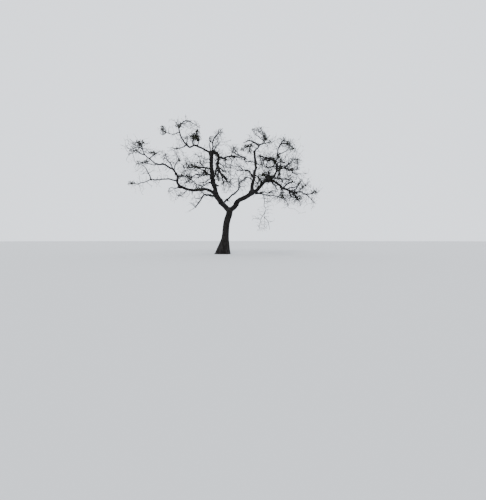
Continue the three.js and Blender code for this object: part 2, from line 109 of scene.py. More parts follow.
BRANCHES = [
    ("left_level_limb", 0.56, (52, 34), [(500, -175, 66), (380, -174, 34)]),
    ("far_left_limb", 0.7, (47, 33), [(300, 143, 19), (150, 167, 44), (600, 140, -3)]),
    ("far_left_limb", 0.48, (43, 27), [(800, 85, 32)]),
    ("far_left_limb", 0.91, (41, 24), [(240, -107, 17), (130, -143, -2)]),
    ("far_left_limb", 0.85, (41, 25), [(260, 160, 23), (420, 141, -1)]),
    ("low_left_riser", 0.64, (51, 28), [(240, 127, 57), (590, 123, 33), (410, 124, 54)]),
    ("low_left_riser", 0.58, (51, 25), [(430, -67, 20), (330, -58, 23), (490, -86, 19)]),
    ("low_left_bough", 0.98, (51, 26), [(380, -111, -18), (210, -143, -3), (280, -94, -32)]),
    ("low_left_bough", 0.78, (40, 25), [(550, -95, -25), (260, -110, -32), (500, -98, -4)]),
    ("low_left_bough", 0.65, (57, 33), [(570, -82, -27)]),
    ("left_front_limb", 0.38, (52, 22), [(470, -96, -1), (300, -110, -1), (620, -99, -3)]),
    ("left_front_limb", 0.84, (37, 20), [(260, -90, -29), (570, -101, -25)]),
    ("left_front_limb", 0.68, (34, 22), [(290, -98, 14), (250, -118, -4)]),
    ("left_middle_limb", 0.68, (51, 32), [(1170, 113, 29)]),
    ("left_middle_limb", 0.27, (48, 30), [(340, 130, 46), (390, 113, 51), (320, 139, 40)]),
    ("left_upper_bough", 0.96, (57, 28), [(630, 105, 54), (380, 88, 60)]),
    ("left_upper_bough", 0.98, (57, 25), [(1150, -67, 5)]),
    ("left_upper_bough", 0.4, (51, 25), [(340, -115, -24), (420, -104, -25), (560, -106, -12)]),
    ("left_upper_bough", 0.25, (125, 77), [(620, -64, -18)]),
    ("left_upper_bough", 0.8, (46, 25), [(370, -104, 1), (310, -117, -15), (330, -107, 7)]),
    ("top_left_bough", 0.54, (49, 27), [(400, 109, 41), (420, 97, 45)]),
    ("top_left_bough", 0.58, (48, 28), [(670, 126, 4), (770, 125, 14)]),
    ("top_left_bough", 0.95, (46, 23), [(240, -44, 34), (230, 17, 29), (600, -23, -31)]),
    ("top_left_bough", 0.97, (35, 23), [(460, -96, 8)]),
    ("top_left_bough", 0.31, (45, 24), [(400, -71, 10), (470, -88, 12), (270, -64, 14)]),
    ("top_far_left_limb", 0.92, (32, 25), [(180, -134, 26), (180, -67, 22)]),
    ("top_far_left_limb", 0.87, (32, 26), [(210, 139, -15), (300, 130, 26)]),
    ("arch_bough", 0.84, (76, 30), [(470, -63, -27), (230, -51, -44), (430, -60, -27)]),
    ("arch_bough", 0.65, (61, 25), [(340, -107, -39), (740, -76, -33)]),
    ("arch_bough", 0.98, (59, 24), [(330, -88, -45), (410, -76, -32)]),
    ("arch_bough", 0.46, (50, 26), [(510, -46, -40), (200, -41, -70)]),
    ("arch_bough", 0.37, (50, 27), [(210, 138, -17), (230, 95, -59)]),
    ("arch_side_limb", 0.43, (48, 29), [(160, 33, -84), (240, -69, -69)]),
    ("arch_side_limb", 0.61, (44, 31), [(300, 71, -26), (340, 101, -49)]),
    ("arch_side_limb", 0.73, (44, 32), [(710, 85, 35), (450, 71, 41)]),
    ("right_upright_bough", 0.79, (51, 26), [(510, -73, -36), (290, -57, -18)]),
    ("right_upright_bough", 0.25, (55, 24), [(370, -116, 9), (110, -154, 4), (680, -115, -24)]),
    ("right_top_limb", 0.59, (44, 24), [(890, -71, -13)]),
    ("right_top_limb", 0.92, (42, 25), [(220, 169, 64), (210, 177, 41), (180, 119, 63)]),
    ("right_top_limb", 0.76, (37, 24), [(300, -130, 19), (460, -120, 4), (210, -108, 22)]),
    ("right_top_left_limb", 0.56, (47, 30), [(630, 96, -2), (370, 101, -11)]),
    ("right_top_left_limb", 0.9, (43, 31), [(540, 107, 7), (350, 114, -1)]),
    ("right_crown_limb", 0.86, (44, 25), [(720, 65, 38)]),
    ("right_crown_limb", 0.98, (44, 22), [(360, -56, -23), (260, -50, -40)]),
    ("right_crown_limb", 0.31, (43, 27), [(280, 23, 27), (620, 48, 25), (250, 24, -8)]),
    ("right_riser", 0.81, (55, 29), [(630, 69, 25), (380, 53, 7), (710, 62, 7)]),
    ("right_riser", 0.98, (61, 29), [(450, -113, -2), (230, -146, -5), (620, -116, -25), (400, -90, -35)]),
    ("right_front_limb", 0.58, (61, 34), [(750, 55, 71)]),
    ("right_middle_limb", 0.27, (51, 29), [(450, 56, 30), (400, 41, 36), (500, 51, 16)]),
    ("right_middle_limb", 0.66, (47, 30), [(610, 57, -5), (570, 57, 13)]),
    ("right_leaning_bough", 0.83, (63, 27), [(840, -90, 2), (700, -85, -5)]),
    ("right_leaning_bough", 0.66, (53, 28), [(390, -111, 4), (1100, -103, -22)]),
    ("right_low_bough", 0.12, (57, 28), [(1200, -85, -24)]),
    ("right_low_bough", 0.65, (53, 23), [(210, -42, 12), (320, -67, -4), (170, -38, 31), (270, -80, 19)]),
    ("right_low_bough", 0.84, (43, 25), [(290, -71, 5), (170, -47, -1)]),
    ("right_far_tip_limb", 0.29, (49, 28), [(440, 79, 23), (240, 54, 28), (730, 65, 16)]),
    ("right_far_tip_limb", 0.73, (39, 28), [(310, 50, -15), (160, 8, -52), (320, 49, -18)]),
    ("right_far_tip_limb", 0.96, (39, 26), [(220, -56, 11), (150, -46, -10)]),
    ("right_low_drop_limb", 0.53, (47, 28), [(330, 31, -39), (310, 62, -38)]),
    ("right_low_front_limb", 0.92, (36, 20), [(310, -65, -32), (290, -84, -43)]),
    ("right_low_front_limb", 0.38, (40, 22), [(500, -109, -25), (410, -108, -12)]),
    ("right_under_limb", 0.32, (47, 22), [(370, -57, -15), (950, -65, -11), (400, -62, -16)]),
    ("right_under_limb", 0.83, (45, 24), [(310, 53, 25), (250, 43, -1)]),
    ("hanging_twig", 0.57, (25, 18), [(340, -161, -60), (350, -109, -61)]),
    ("hanging_twig", 0.67, (25, 19), [(300, 33, -47), (310, 70, -56)]),
    ("centre_limb", 0.8, (50, 30), [(210, 122, 82), (250, -41, 57)]),
    ("left_drooping_limb", 0.62, (46, 23), [(850, -94, 2)]),
    ("left_drooping_limb", 0.75, (36, 24), [(190, 179, -14), (160, -148, 4)]),
    ("crown_leader", 0.55, (41, 27), [(170, -141, 33), (190, -80, 31)]),
    ("crown_leader", 0.84, (42, 29), [(560, 71, 37), (340, 58, 46)]),
    ("right_far_back_limb", 0.67, (45, 33), [(320, 125, 24), (920, 110, 30), (330, 117, 46)]),
    ("right_inner_limb", 0.66, (49, 31), [(500, 108, 29), (570, 111, 16)]),
    ("right_back_limb", 0.48, (55, 31), [(290, 119, -17), (260, 91, -28), (300, 41, 2)]),
    ("arch_bough", 0.59, (72, 52), [(160, -148, -55), (160, 140, -70), (180, -107, -64)]),
    ("arch_bough", 0.68, (61, 46), [(170, -173, -76), (220, -75, -57)]),
    ("arch_bough", 0.91, (65, 43), [(200, -37, -29), (210, -70, -50), (290, -68, -34)]),
    ("arch_bough", 0.41, (56, 40), [(170, 150, -47), (230, 89, -60)]),
    ("arch_bough", 0.62, (56, 38), [(150, -28, -29), (330, -65, -29), (120, -23, -13)]),
    ("arch_side_limb", 0.73, (70, 54), [(320, 31, -2), (280, 2, -3), (240, 34, -13)]),
    ("right_back_limb", 0.7, (70, 44), [(270, -134, -45), (330, -90, -51), (330, -63, -28)]),
    ("right_back_limb", 0.32, (59, 44), [(290, 70, -20), (250, 120, -26), (240, 143, -8)]),
    ("right_riser", 0.71, (66, 48), [(290, 60, -20), (360, 79, -19), (240, 55, -35)]),
    ("right_riser", 0.83, (61, 50), [(360, 58, 3), (390, 51, 12), (520, 58, 7)]),
    ("right_leaning_bough", 0.88, (57, 36), [(220, -62, 36), (170, -111, 62), (200, -58, 16)]),
    ("right_low_bough", 0.58, (58, 46), [(370, 51, 36), (210, 7, 20), (280, 44, -6)]),
    ("right_low_bough", 0.96, (54, 44), [(160, 11, 59), (370, -24, 55)]),
    ("right_low_bough", 0.76, (53, 44), [(160, -26, -83), (220, -46, -33), (150, -1, -7)]),
    ("right_top_left_limb", 0.1, (62, 50), [(380, 125, 34), (270, 142, 17), (370, 122, 5)]),
    ("left_middle_limb", 0.41, (24, 23), [(420, 132, -5), (340, 148, 4), (470, 128, -4)]),
    ("left_front_limb", 0.24, (43, 30), [(440, -118, -25), (280, -149, -17), (330, -119, -9)]),
    ("low_left_riser", 0.34, (62, 42), [(190, 52, 22), (170, 20, -2), (290, 54, 26)]),
    ("left_upper_bough", 0.75, (23, 21), [(190, 178, 14), (240, 162, -11), (280, 153, 24), (280, 166, 0)]),
]
MASSES = [
    ("far_left_crown_mass", "far_left_limb", (190, -132, -52), (350, 420, 150), 42),
    ("far_left_low_mass", "far_left_low_limb", (90, 67, 18), (290, 360, 120), 2),
    ("left_level_mass", "left_level_limb", (10, 45, 53), (200, 320, 110), 4),
    ("top_far_left_mass", "top_far_left_limb", (80, 121, 58), (150, 300, 200), 10),
    ("top_left_mass", "top_left_bough", (390, -14, 3), (450, 380, 150), 3),
    ("top_knot_mass", "top_knot_limb", (170, 61, 45), (250, 420, 240), 25),
    ("crown_top_mass", "crown_leader", (80, 74, -16), (360, 340, 190), 66),
    ("arch_end_mass", "arch_bough", (140, -51, -42), (260, 360, 200), -25),
    ("arch_side_mass", "arch_side_limb", (130, 104, 23), (230, 420, 160), 0),
    ("left_middle_mass", "left_middle_limb", (190, 43, 37), (300, 420, 200), -10),
    ("left_front_mass", "left_front_limb", (140, -66, -33), (200, 340, 140), 5),
    ("left_back_mass", "left_back_limb", (130, 144, 32), (240, 460, 180), -20),
    ("right_top_left_mass", "right_top_left_limb", (110, 91, 5), (290, 400, 210), 15),
    ("right_top_mass", "right_top_limb", (230, -140, 36), (320, 380, 170), 122),
    ("right_crown_mass", "right_crown_limb", (170, -33, -17), (280, 420, 170), -18),
    ("right_back_mass", "right_back_limb", (110, 99, -4), (260, 500, 210), 0),
    ("right_middle_mass", "right_middle_limb", (220, 94, 67), (250, 460, 260), 0),
    ("right_front_mass", "right_front_limb", (110, -81, -11), (210, 400, 130), 0),
    ("right_low_mass", "right_low_drop_limb", (140, 57, -9), (230, 340, 140), -5),
    ("right_far_tip_mass", "right_far_tip_limb", (130, 15, 17), (180, 280, 110), 5),
    ("right_low_front_mass", "right_low_front_limb", (150, -72, -39), (150, 340, 180), 20),
    ("right_far_back_mass", "right_far_back_limb", (170, 122, 46), (270, 460, 230), 30),
]

# (limb or branch that it sits on, at, offset, (half width, half height), how dense)
TUFTS = [
    ('arch_bough', 0.16, (-10, 40, -10), (140, 110), 1.0),
    ('arch_bough', 0.3, (-10, -20, 0), (90, 100), 0.8),
    ('top_knot_limb', 1.0, (-100, 60, 80), (130, 110), 1.0),
    (24, 0.76, (-60, -70, -40), (110, 110), 1.0),
    (24, 0.9, (-60, 10, 60), (80, 80), 1.0),
    (24, 0.49, (-40, 50, 10), (80, 80), 1.0),
    ('top_knot_limb', 0.9, (40, -110, -40), (80, 70), 0.8),
    ('right_top_limb', 1.0, (0, 30, 30), (100, 120), 1.0),
    (83, 0.28, (10, 40, 10), (180, 150), 1.0),
    (50, 0.46, (-110, -60, 10), (130, 110), 1.0),
    ('right_low_bough', 0.15, (0, 0, 10), (150, 90), 0.9),
    ('right_riser', 0.96, (-10, -80, -20), (110, 100), 1.0),
    ('right_crown_limb', 0.28, (0, 10, 0), (80, 100), 1.0),
    ('right_back_limb', 0.45, (0, 30, 20), (210, 90), 0.8),
    (43, 0.45, (20, 100, 70), (100, 70), 1.0),
    (43, 0.74, (0, 70, 10), (80, 70), 0.8),
    ('right_low_bough', 0.54, (0, 120, 10), (90, 80), 1.0),
    ('left_front_limb', 0.38, (0, 100, 30), (110, 110), 1.0),
    ('right_low_drop_limb', 1.0, (70, 110, -10), (160, 90), 0.9),
    (57, 0.6, (-20, -70, -10), (100, 80), 0.8),
    (90, 0.29, (-10, 80, 20), (140, 60), 0.8),
    (21, 0.06, (0, 40, 0), (60, 60), 0.6),
    ('centre_limb', 0.2, (30, -50, -40), (60, 50), 0.8),
    ('low_left_bough', 0.46, (-10, -50, 80), (170, 80), 0.9),
    ('top_left_bough', 1.0, (20, -60, 0), (130, 70), 0.8),
    (25, 0.74, (60, -10, -20), (90, 70), 0.8),
    ('top_far_left_limb', 1.0, (30, -110, -40), (90, 70), 0.7),
    (10, 0.58, (0, 30, 20), (90, 50), 0.8),
    (10, 0.9, (-50, 100, 30), (110, 60), 0.5),
    (89, 1.0, (10, -60, -20), (100, 60), 0.5),
    ('far_left_limb', 1.0, (-40, 120, 70), (180, 100), 0.7),
    (1, 0.43, (30, -40, 30), (160, 100), 0.35),
    (4, 1.0, (40, -90, -70), (90, 80), 0.5),
    (1, 1.0, (-60, 100, 10), (50, 50), 0.5),
    (2, 0.71, (-50, -10, 50), (170, 70), 0.9),
    (0, 1.0, (20, -40, 0), (110, 70), 0.6),
    ('far_left_low_limb', 0.62, (-30, 110, 80), (120, 60), 0.6),
    ('left_level_limb', 0.98, (50, -110, 10), (110, 70), 0.4),
    ('left_level_limb', 1.0, (-120, 60, -20), (60, 50), 0.3),
    (6, 0.61, (40, -50, -20), (80, 70), 0.7),
    (21, 0.8, (-20, 80, 20), (140, 60), 0.6),
    (6, 0.9, (-40, 30, 30), (50, 80), 0.5),
    ('arch_side_limb', 0.45, (10, 20, -30), (100, 120), 0.8),
    ('arch_side_limb', 0.86, (-10, 70, 20), (150, 60), 0.6),
    (78, 0.73, (0, 50, 0), (140, 70), 0.6),
    (40, 0.25, (10, 40, 10), (110, 90), 1.0),
    ('right_top_left_limb', 0.98, (-40, -60, 40), (100, 80), 0.9),
    (40, 0.8, (50, -50, -30), (90, 100), 0.8),
    (41, 0.79, (0, -70, -30), (110, 80), 0.8),
    (35, 0.49, (-30, -30, -30), (70, 60), 0.5),
    (87, 0.08, (0, 100, 20), (130, 60), 0.6),
    (42, 0.78, (20, 40, 0), (80, 80), 0.7),
    (44, 0.86, (0, -50, 10), (120, 90), 0.6),
    (45, 1.0, (10, 70, 30), (90, 70), 0.8),
    ('right_middle_limb', 0.64, (20, 30, 50), (220, 70), 0.8),
    (48, 0.76, (-10, -70, 0), (160, 50), 0.6),
    (48, 0.9, (10, -50, -160), (60, 60), 0.5),
    ('right_front_limb', 0.99, (-10, -50, 100), (50, 50), 0.6),
    ('right_front_limb', 0.9, (30, 30, 20), (50, 50), 0.6),
    (84, 0.64, (-10, -10, 20), (120, 50), 0.7),
    (55, 0.48, (20, 100, 20), (70, 60), 0.9),
    (55, 0.88, (-10, -30, 10), (70, 50), 0.8),
    (53, 0.81, (-10, -90, -20), (60, 50), 0.8),
    (85, 1.0, (10, 110, 40), (50, 50), 0.5),
    ('right_low_front_limb', 0.95, (-20, -110, -20), (70, 60), 0.9),
    ('right_low_front_limb', 0.48, (10, 60, 10), (60, 60), 0.6),
    (59, 0.93, (-10, -90, -10), (40, 50), 0.5),
    (58, 0.9, (0, -30, 0), (70, 60), 0.4),
    (56, 0.55, (10, -40, 10), (60, 60), 0.6),
    (46, 0.89, (20, 70, 20), (60, 70), 0.6),
    (72, 0.89, (0, 80, 20), (110, 60), 0.6),
    (27, 0.88, (10, -40, 10), (60, 60), 0.8),
    (29, 0.74, (-10, 50, 10), (60, 60), 0.6),
    (28, 0.94, (-10, 110, 20), (60, 70), 0.7),
    (73, 0.49, (0, -90, -20), (60, 110), 0.6),
    (69, 0.59, (30, 100, 0), (160, 190), 0.3),
    (15, 0.9, (0, -10, 0), (80, 120), 0.35),
    ('crown_leader', 0.65, (10, -40, -20), (80, 80), 0.35),
    (39, 0.94, (80, 20, 30), (100, 60), 0.4),
    (38, 0.75, (50, 30, 20), (120, 90), 0.5),
    (38, 0.43, (40, -70, 20), (70, 70), 0.5),
    (22, 0.41, (-10, 70, 10), (100, 50), 0.45),
    (22, 0.85, (10, -60, -10), (110, 80), 0.4),
    (20, 0.95, (10, -110, -40), (70, 60), 0.35),
    (34, 0.83, (-20, -10, 10), (170, 170), 0.3),
    (11, 0.61, (40, -40, -40), (130, 70), 0.4),
    (5, 0.85, (-70, -60, -40), (140, 180), 0.3),
    (7, 0.96, (10, -30, -10), (60, 50), 0.4),
    (8, 0.71, (20, -70, -10), (130, 50), 0.3),
    ('hanging_twig', 0.91, (10, -120, 0), (100, 130), 0.15),
    (33, 0.95, (-10, 30, 10), (90, 80), 0.5),
    (36, 0.53, (-10, -120, -10), (60, 50), 0.4),
    (66, 1.0, (10, -60, 0), (50, 40), 0.5),
    (37, 0.85, (0, -30, 0), (80, 60), 0.5),
    (56, 0.9, (30, 70, 0), (80, 60), 0.35),
    ('right_upright_bough', 0.19, (30, -100, -20), (60, 50), 0.4),
    (52, 0.99, (-10, -30, -10), (60, 50), 0.5),
    ('low_left_bough', 0.89, (40, -20, 70), (100, 70), 0.4),
    (51, 0.99, (20, 70, 0), (50, 40), 0.4),
    (47, 0.95, (0, 40, 10), (60, 60), 0.7),
    (47, 0.43, (10, -70, -20), (60, 110), 0.7),
    (14, 0.95, (-10, 50, 20), (90, 70), 0.35),
    ('right_leaning_bough', 0.46, (-50, -60, 20), (80, 80), 0.8),
    (51, 0.11, (-20, -80, -40), (80, 60), 0.7),
    ('right_cross_limb', 0.61, (-30, -50, -50), (70, 60), 0.6),
    (19, 0.98, (-10, 90, 30), (70, 60), 0.35),
    ('left_back_limb', 0.41, (0, -100, 20), (80, 60), 0.5),
    ('right_low_bough', 0.84, (-10, -80, 20), (90, 60), 0.7),
    ('right_far_tip_limb', 0.08, (10, 20, -40), (80, 60), 0.7),
]
SPRAYS = [
    (2, 1.0, (130, 140, -40), (340, 250), 0.5),
    (21, 1.0, (-110, -80, -180), (300, 260), 0.4),
    ('far_left_low_limb', 0.83, (-60, 210, 120), (310, 180), 0.5),
    (4, 0.3, (70, -230, -70), (300, 190), 0.4),
    (6, 0.84, (-40, 50, 0), (230, 230), 0.3),
    (14, 0.5, (50, 170, 60), (370, 280), 0.2),
    (10, 0.58, (60, -350, -80), (310, 140), 0.15),
    (89, 0.73, (-10, 110, 70), (350, 150), 0.15),
    (89, 0.29, (20, 150, -50), (240, 160), 0.15),
    ('left_back_limb', 0.91, (-50, -210, -160), (360, 180), 0.8),
    ('top_left_bough', 0.18, (60, 10, 110), (250, 130), 0.7),
    ('crown_leader', 0.65, (130, -280, -140), (300, 300), 0.2),
    ('arch_bough', 0.33, (-10, 40, 10), (210, 290), 1.2),
    (30, 0.35, (-40, 110, -10), (210, 290), 2.0),
    (74, 0.61, (10, 340, 80), (250, 290), 3.0),
    (28, 1.0, (-10, 230, 10), (230, 230), 2.6),
    (27, 0.53, (0, 400, 100), (200, 240), 1.6),
    (33, 0.58, (-70, 350, 100), (340, 240), 1.0),
    (77, 1.0, (40, 370, 180), (250, 250), 1.6),
    (32, 0.54, (0, -230, -60), (260, 220), 1.2),
    (71, 1.0, (-10, 250, 70), (300, 250), 1.0),
    (78, 0.58, (-20, 130, -150), (380, 190), 0.5),
    (40, 0.66, (-30, -150, -40), (320, 230), 1.6),
    ('right_top_limb', 0.11, (-10, -180, -50), (250, 210), 0.8),
    (38, 0.75, (-20, -200, -80), (230, 190), 1.2),
    (38, 0.06, (20, -30, 0), (190, 190), 1.2),
    (87, 0.54, (20, -360, 10), (290, 170), 0.5),
    ('right_crown_limb', 0.81, (-80, 110, 70), (260, 220), 0.9),
    (43, 0.38, (40, 340, 70), (220, 150), 0.9),
    (46, 0.54, (-10, -210, -60), (310, 190), 0.45),
    ('right_crown_limb', 0.1, (80, 390, 80), (290, 250), 0.9),
    (48, 0.53, (-160, -130, 120), (340, 210), 1.5),
    (48, 0.83, (-50, -300, -90), (220, 220), 0.8),
    (80, 0.86, (30, 340, 90), (380, 190), 1.2),
    ('right_middle_limb', 0.06, (0, -40, 0), (280, 200), 1.0),
    ('right_middle_limb', 0.4, (-20, -140, -50), (290, 170), 0.8),
    (44, 1.0, (150, 360, 60), (260, 170), 0.8),
    ('right_cross_limb', 0.56, (40, -380, 20), (220, 190), 2.6),
    ('right_riser', 0.08, (40, 200, 20), (310, 200), 2.4),
    (81, 1.0, (0, -170, -90), (340, 210), 1.6),
    ('right_front_limb', 1.0, (110, 260, 50), (230, 170), 1.6),
    ('right_low_drop_limb', 0.2, (0, 90, 0), (330, 250), 1.7),
    (55, 0.39, (0, 80, 30), (300, 210), 1.5),
    (59, 0.15, (40, 230, 40), (240, 170), 2.1),
    (58, 0.43, (-20, 160, -20), (350, 180), 2.8),
    (62, 0.85, (10, 120, 30), (230, 190), 2.0),
    ('right_far_tip_limb', 0.86, (-40, -210, -70), (290, 160), 1.8),
    (7, 0.58, (30, -180, -140), (240, 160), 1.2),
    (8, 0.54, (0, -230, 20), (240, 160), 0.3),
    ('left_drooping_limb', 0.95, (-30, -110, 20), (190, 190), 0.8),
    ('low_left_bough', 0.34, (-60, 320, -20), (300, 130), 0.9),
    ('low_left_bough', 0.71, (-10, 120, 50), (300, 130), 1.1),
    ('left_level_limb', 0.23, (20, -180, 220), (370, 250), 0.3),
    ('left_level_limb', 0.45, (-80, 230, -50), (390, 170), 0.3),
    (0, 0.69, (-160, 100, -180), (220, 260), 0.6),
    (88, 0.85, (10, -230, 20), (330, 230), 0.3),
    (20, 1.0, (140, -180, 40), (330, 290), 0.5),
    ('top_far_left_limb', 0.84, (100, -180, 90), (230, 190), 0.4),
    ('right_inner_limb', 0.45, (0, 90, 10), (270, 270), 0.6),
    (51, 0.76, (-10, -40, 0), (180, 180), 2.0),
    ('right_upright_bough', 0.6, (50, 340, 80), (210, 260), 0.15),
    ('centre_limb', 0.66, (50, -90, -20), (270, 270), 1.6),
    ('far_left_limb', 0.76, (260, -290, -20), (190, 190), 0.8),
    (65, 0.3, (-170, 360, 50), (240, 240), 0.8),
    (55, 0.9, (20, -360, 10), (210, 260), 1.0),
    (49, 1.0, (310, 210, 90), (190, 240), 0.5),
    ('left_upper_bough', 0.15, (-70, -290, -70), (120, 210), 0.8),
    (29, 1.0, (80, -100, -90), (260, 260), 3.0),
]

# Swellings on the wood: (limb, at, bearing, rise, how far out, radius)
BURLS = [
    ("left_upper_bough", 0.21, -10, 0, 0.070, 0.058),
    ("left_upper_bough", 0.22, 20, -10, 0.120, 0.034),
    ("left_upper_bough", 0.32, -15, 0, 0.036, 0.080),
    ("left_upper_bough", 0.42, 170, 0, 0.030, 0.082),
    ("left_upper_bough", 0.95, -60, 20, 0.018, 0.060),
    ("left_upper_bough", 0.62, 175, 0, 0.030, 0.034),
    ("left_main_bough", 0.52, 190, -20, 0.075, 0.046),
    ("left_main_bough", 0.93, 120, 10, 0.035, 0.085),
    ("left_main_bough", 0.62, 25, 0, 0.052, 0.078),
    ("left_main_bough", 0.78, 195, 0, 0.052, 0.080),
    ("right_main_bough", 0.33, -20, -35, 0.078, 0.060),
    ("right_main_bough", 0.44, -60, -25, 0.080, 0.044),
    ("right_main_bough", 0.94, -30, -10, 0.020, 0.092),
    ("right_leaning_bough", 0.55, -120, 30, 0.040, 0.040),
    ("right_leaning_bough", 0.98, 0, 40, 0.020, 0.060),
    ("right_upright_bough", 0.62, 20, 10, 0.022, 0.040),
    ("right_riser", 0.68, -20, 20, 0.010, 0.044),
    ("right_low_bough", 0.40, 0, -30, 0.012, 0.042),
    ("low_left_bough", 0.38, 0, -70, 0.020, 0.052),
    ("low_left_bough", 0.97, 180, -30, 0.008, 0.056),
    ("low_left_riser", 0.46, 200, 20, 0.008, 0.050),
    ("centre_limb", 0.19, 90, -40, 0.010, 0.050),
    ("arch_bough", 0.10, 0, 90, 0.010, 0.058),
    ("arch_bough", 0.62, -90, 0, 0.012, 0.048),
    ("trunk", 0.44, 150, 0, 0.085, 0.048),
    ("trunk", 0.71, -40, 0, 0.080, 0.052),
    ("trunk", 0.30, -110, 0, 0.090, 0.050),
]

# ---------- repeatable noise ----------


def mixed(i, j, k, seed):
    """A well mixed whole number for each cell."""
    with np.errstate(over="ignore"):
        h = i.astype(np.uint32) * np.uint32(0x8DA6B343)
        h ^= j.astype(np.uint32) * np.uint32(0xD8163841)
        h ^= k.astype(np.uint32) * np.uint32(0xCB1AB31F)
        h ^= np.uint32((seed * 0x9E3779B9) & 0xFFFFFFFF)
        h ^= h >> np.uint32(15)
        h *= np.uint32(0x2C1B3C6D)
        h ^= h >> np.uint32(12)
        h *= np.uint32(0x297A2D39)
        h ^= h >> np.uint32(15)
    return h


def share_of(h, part=0):
    """0 to 1, one of two independent shares of the same whole number."""
    return ((h >> np.uint32(16 * part)) & np.uint32(0xFFFF)).astype(float) / 65535.0


def noise(p, seed=0):
    """Smooth value noise, -1 to 1."""
    base = np.floor(p).astype(np.int64)
    f = p - base
    f = f * f * (3 - 2 * f)
    out = np.zeros(len(p))
    for dx in (0, 1):
        wx = f[:, 0] if dx else 1 - f[:, 0]
        for dy in (0, 1):
            wy = f[:, 1] if dy else 1 - f[:, 1]
            for dz in (0, 1):
                wz = f[:, 2] if dz else 1 - f[:, 2]
                out += wx * wy * wz * share_of(mixed(base[:, 0] + dx, base[:, 1] + dy, base[:, 2] + dz, seed))
    return out * 2 - 1


def rough(p, octaves=3, seed=0):
    out, size, total = np.zeros(len(p)), 1.0, 0.0
    for o in range(octaves):
        out += size * noise(p * 2.03**o + 7.7 * o, seed + o)
        total += size
        size *= 0.5
    return out / total


def plates(p, seed=0):
    """Cells of bark: how far a point is from the crack round its cell, 0 at the crack, and the cell's own share."""
    base = np.floor(p).astype(np.int64)
    f = p - base
    near1, near2, own = np.full(len(p), 9.0), np.full(len(p), 9.0), np.zeros(len(p))
    for dx in (-1, 0, 1):
        for dy in (-1, 0, 1):
            for dz in (-1, 0, 1):
                h = mixed(base[:, 0] + dx, base[:, 1] + dy, base[:, 2] + dz, seed)
                g = mixed(base[:, 0] + dx, base[:, 1] + dy, base[:, 2] + dz, seed + 91)
                d = np.sqrt((dx + share_of(h) - f[:, 0]) ** 2 + (dy + share_of(h, 1) - f[:, 1]) ** 2 + (dz + share_of(g) - f[:, 2]) ** 2)
                closer = d < near1
                near2 = np.where(closer, near1, np.minimum(near2, d))
                own = np.where(closer, share_of(g, 1), own)
                near1 = np.where(closer, d, near1)
    return near2 - near1, own


def ease(a, b, x):
    t = np.clip((x - a) / (b - a), 0, 1)
    return t * t * (3 - 2 * t)


# ---------- limbs ----------


def step_of(leg):
    length, bearing, rise = leg
    b, r = math.radians(bearing), math.radians(rise)
    return length / 1000 * np.array([math.cos(b) * math.cos(r), math.sin(b) * math.cos(r), math.sin(r)])


def smooth_line(points, count=400):
    """The centripetal curve through the points, as the part draws it."""
    P = [np.array(q, float) for q in points]
    if len(P) == 2:
        P.insert(1, (P[0] + P[1]) / 2)
    last = len(P) - 1
    out = []
    for t in np.linspace(0, last, count + 1):
        i = min(int(t), last - 1)
        w = t - i
        a = P[i - 1] if i > 0 else 2 * P[0] - P[1]
        b, c = P[i], P[i + 1]
        d = P[i + 2] if i + 2 <= last else 2 * P[last] - P[last - 1]
        g0, g1, g2 = (((q - r) @ (q - r)) ** 0.25 for q, r in ((a, b), (b, c), (c, d)))
        g1 = g1 if g1 > 1e-4 else 1.0
        g0 = g0 if g0 > 1e-4 else g1
        g2 = g2 if g2 > 1e-4 else g1
        t1 = ((b - a) / g0 - (c - a) / (g0 + g1) + (c - b) / g1) * g1
        t2 = ((c - b) / g1 - (d - b) / (g1 + g2) + (d - c) / g2) * g1
        out.append(b + t1 * w + (-3 * b + 3 * c - 2 * t1 - t2) * w**2 + (2 * b - 2 * c + t1 + t2) * w**3)
    return np.array(out)


def spaced(line, step):
    """The same line with corners at equal steps."""
    s = np.r_[0, np.cumsum(np.linalg.norm(np.diff(line, axis=0), axis=1))]
    n = max(6, int(math.ceil(s[-1] / step)))
    at = np.linspace(0, s[-1], n + 1)
    return np.stack([np.interp(at, s, line[:, k]) for k in range(3)], 1), s[-1]


def unit(v):
    return v / np.maximum(np.linalg.norm(v, axis=-1, keepdims=True), 1e-12)


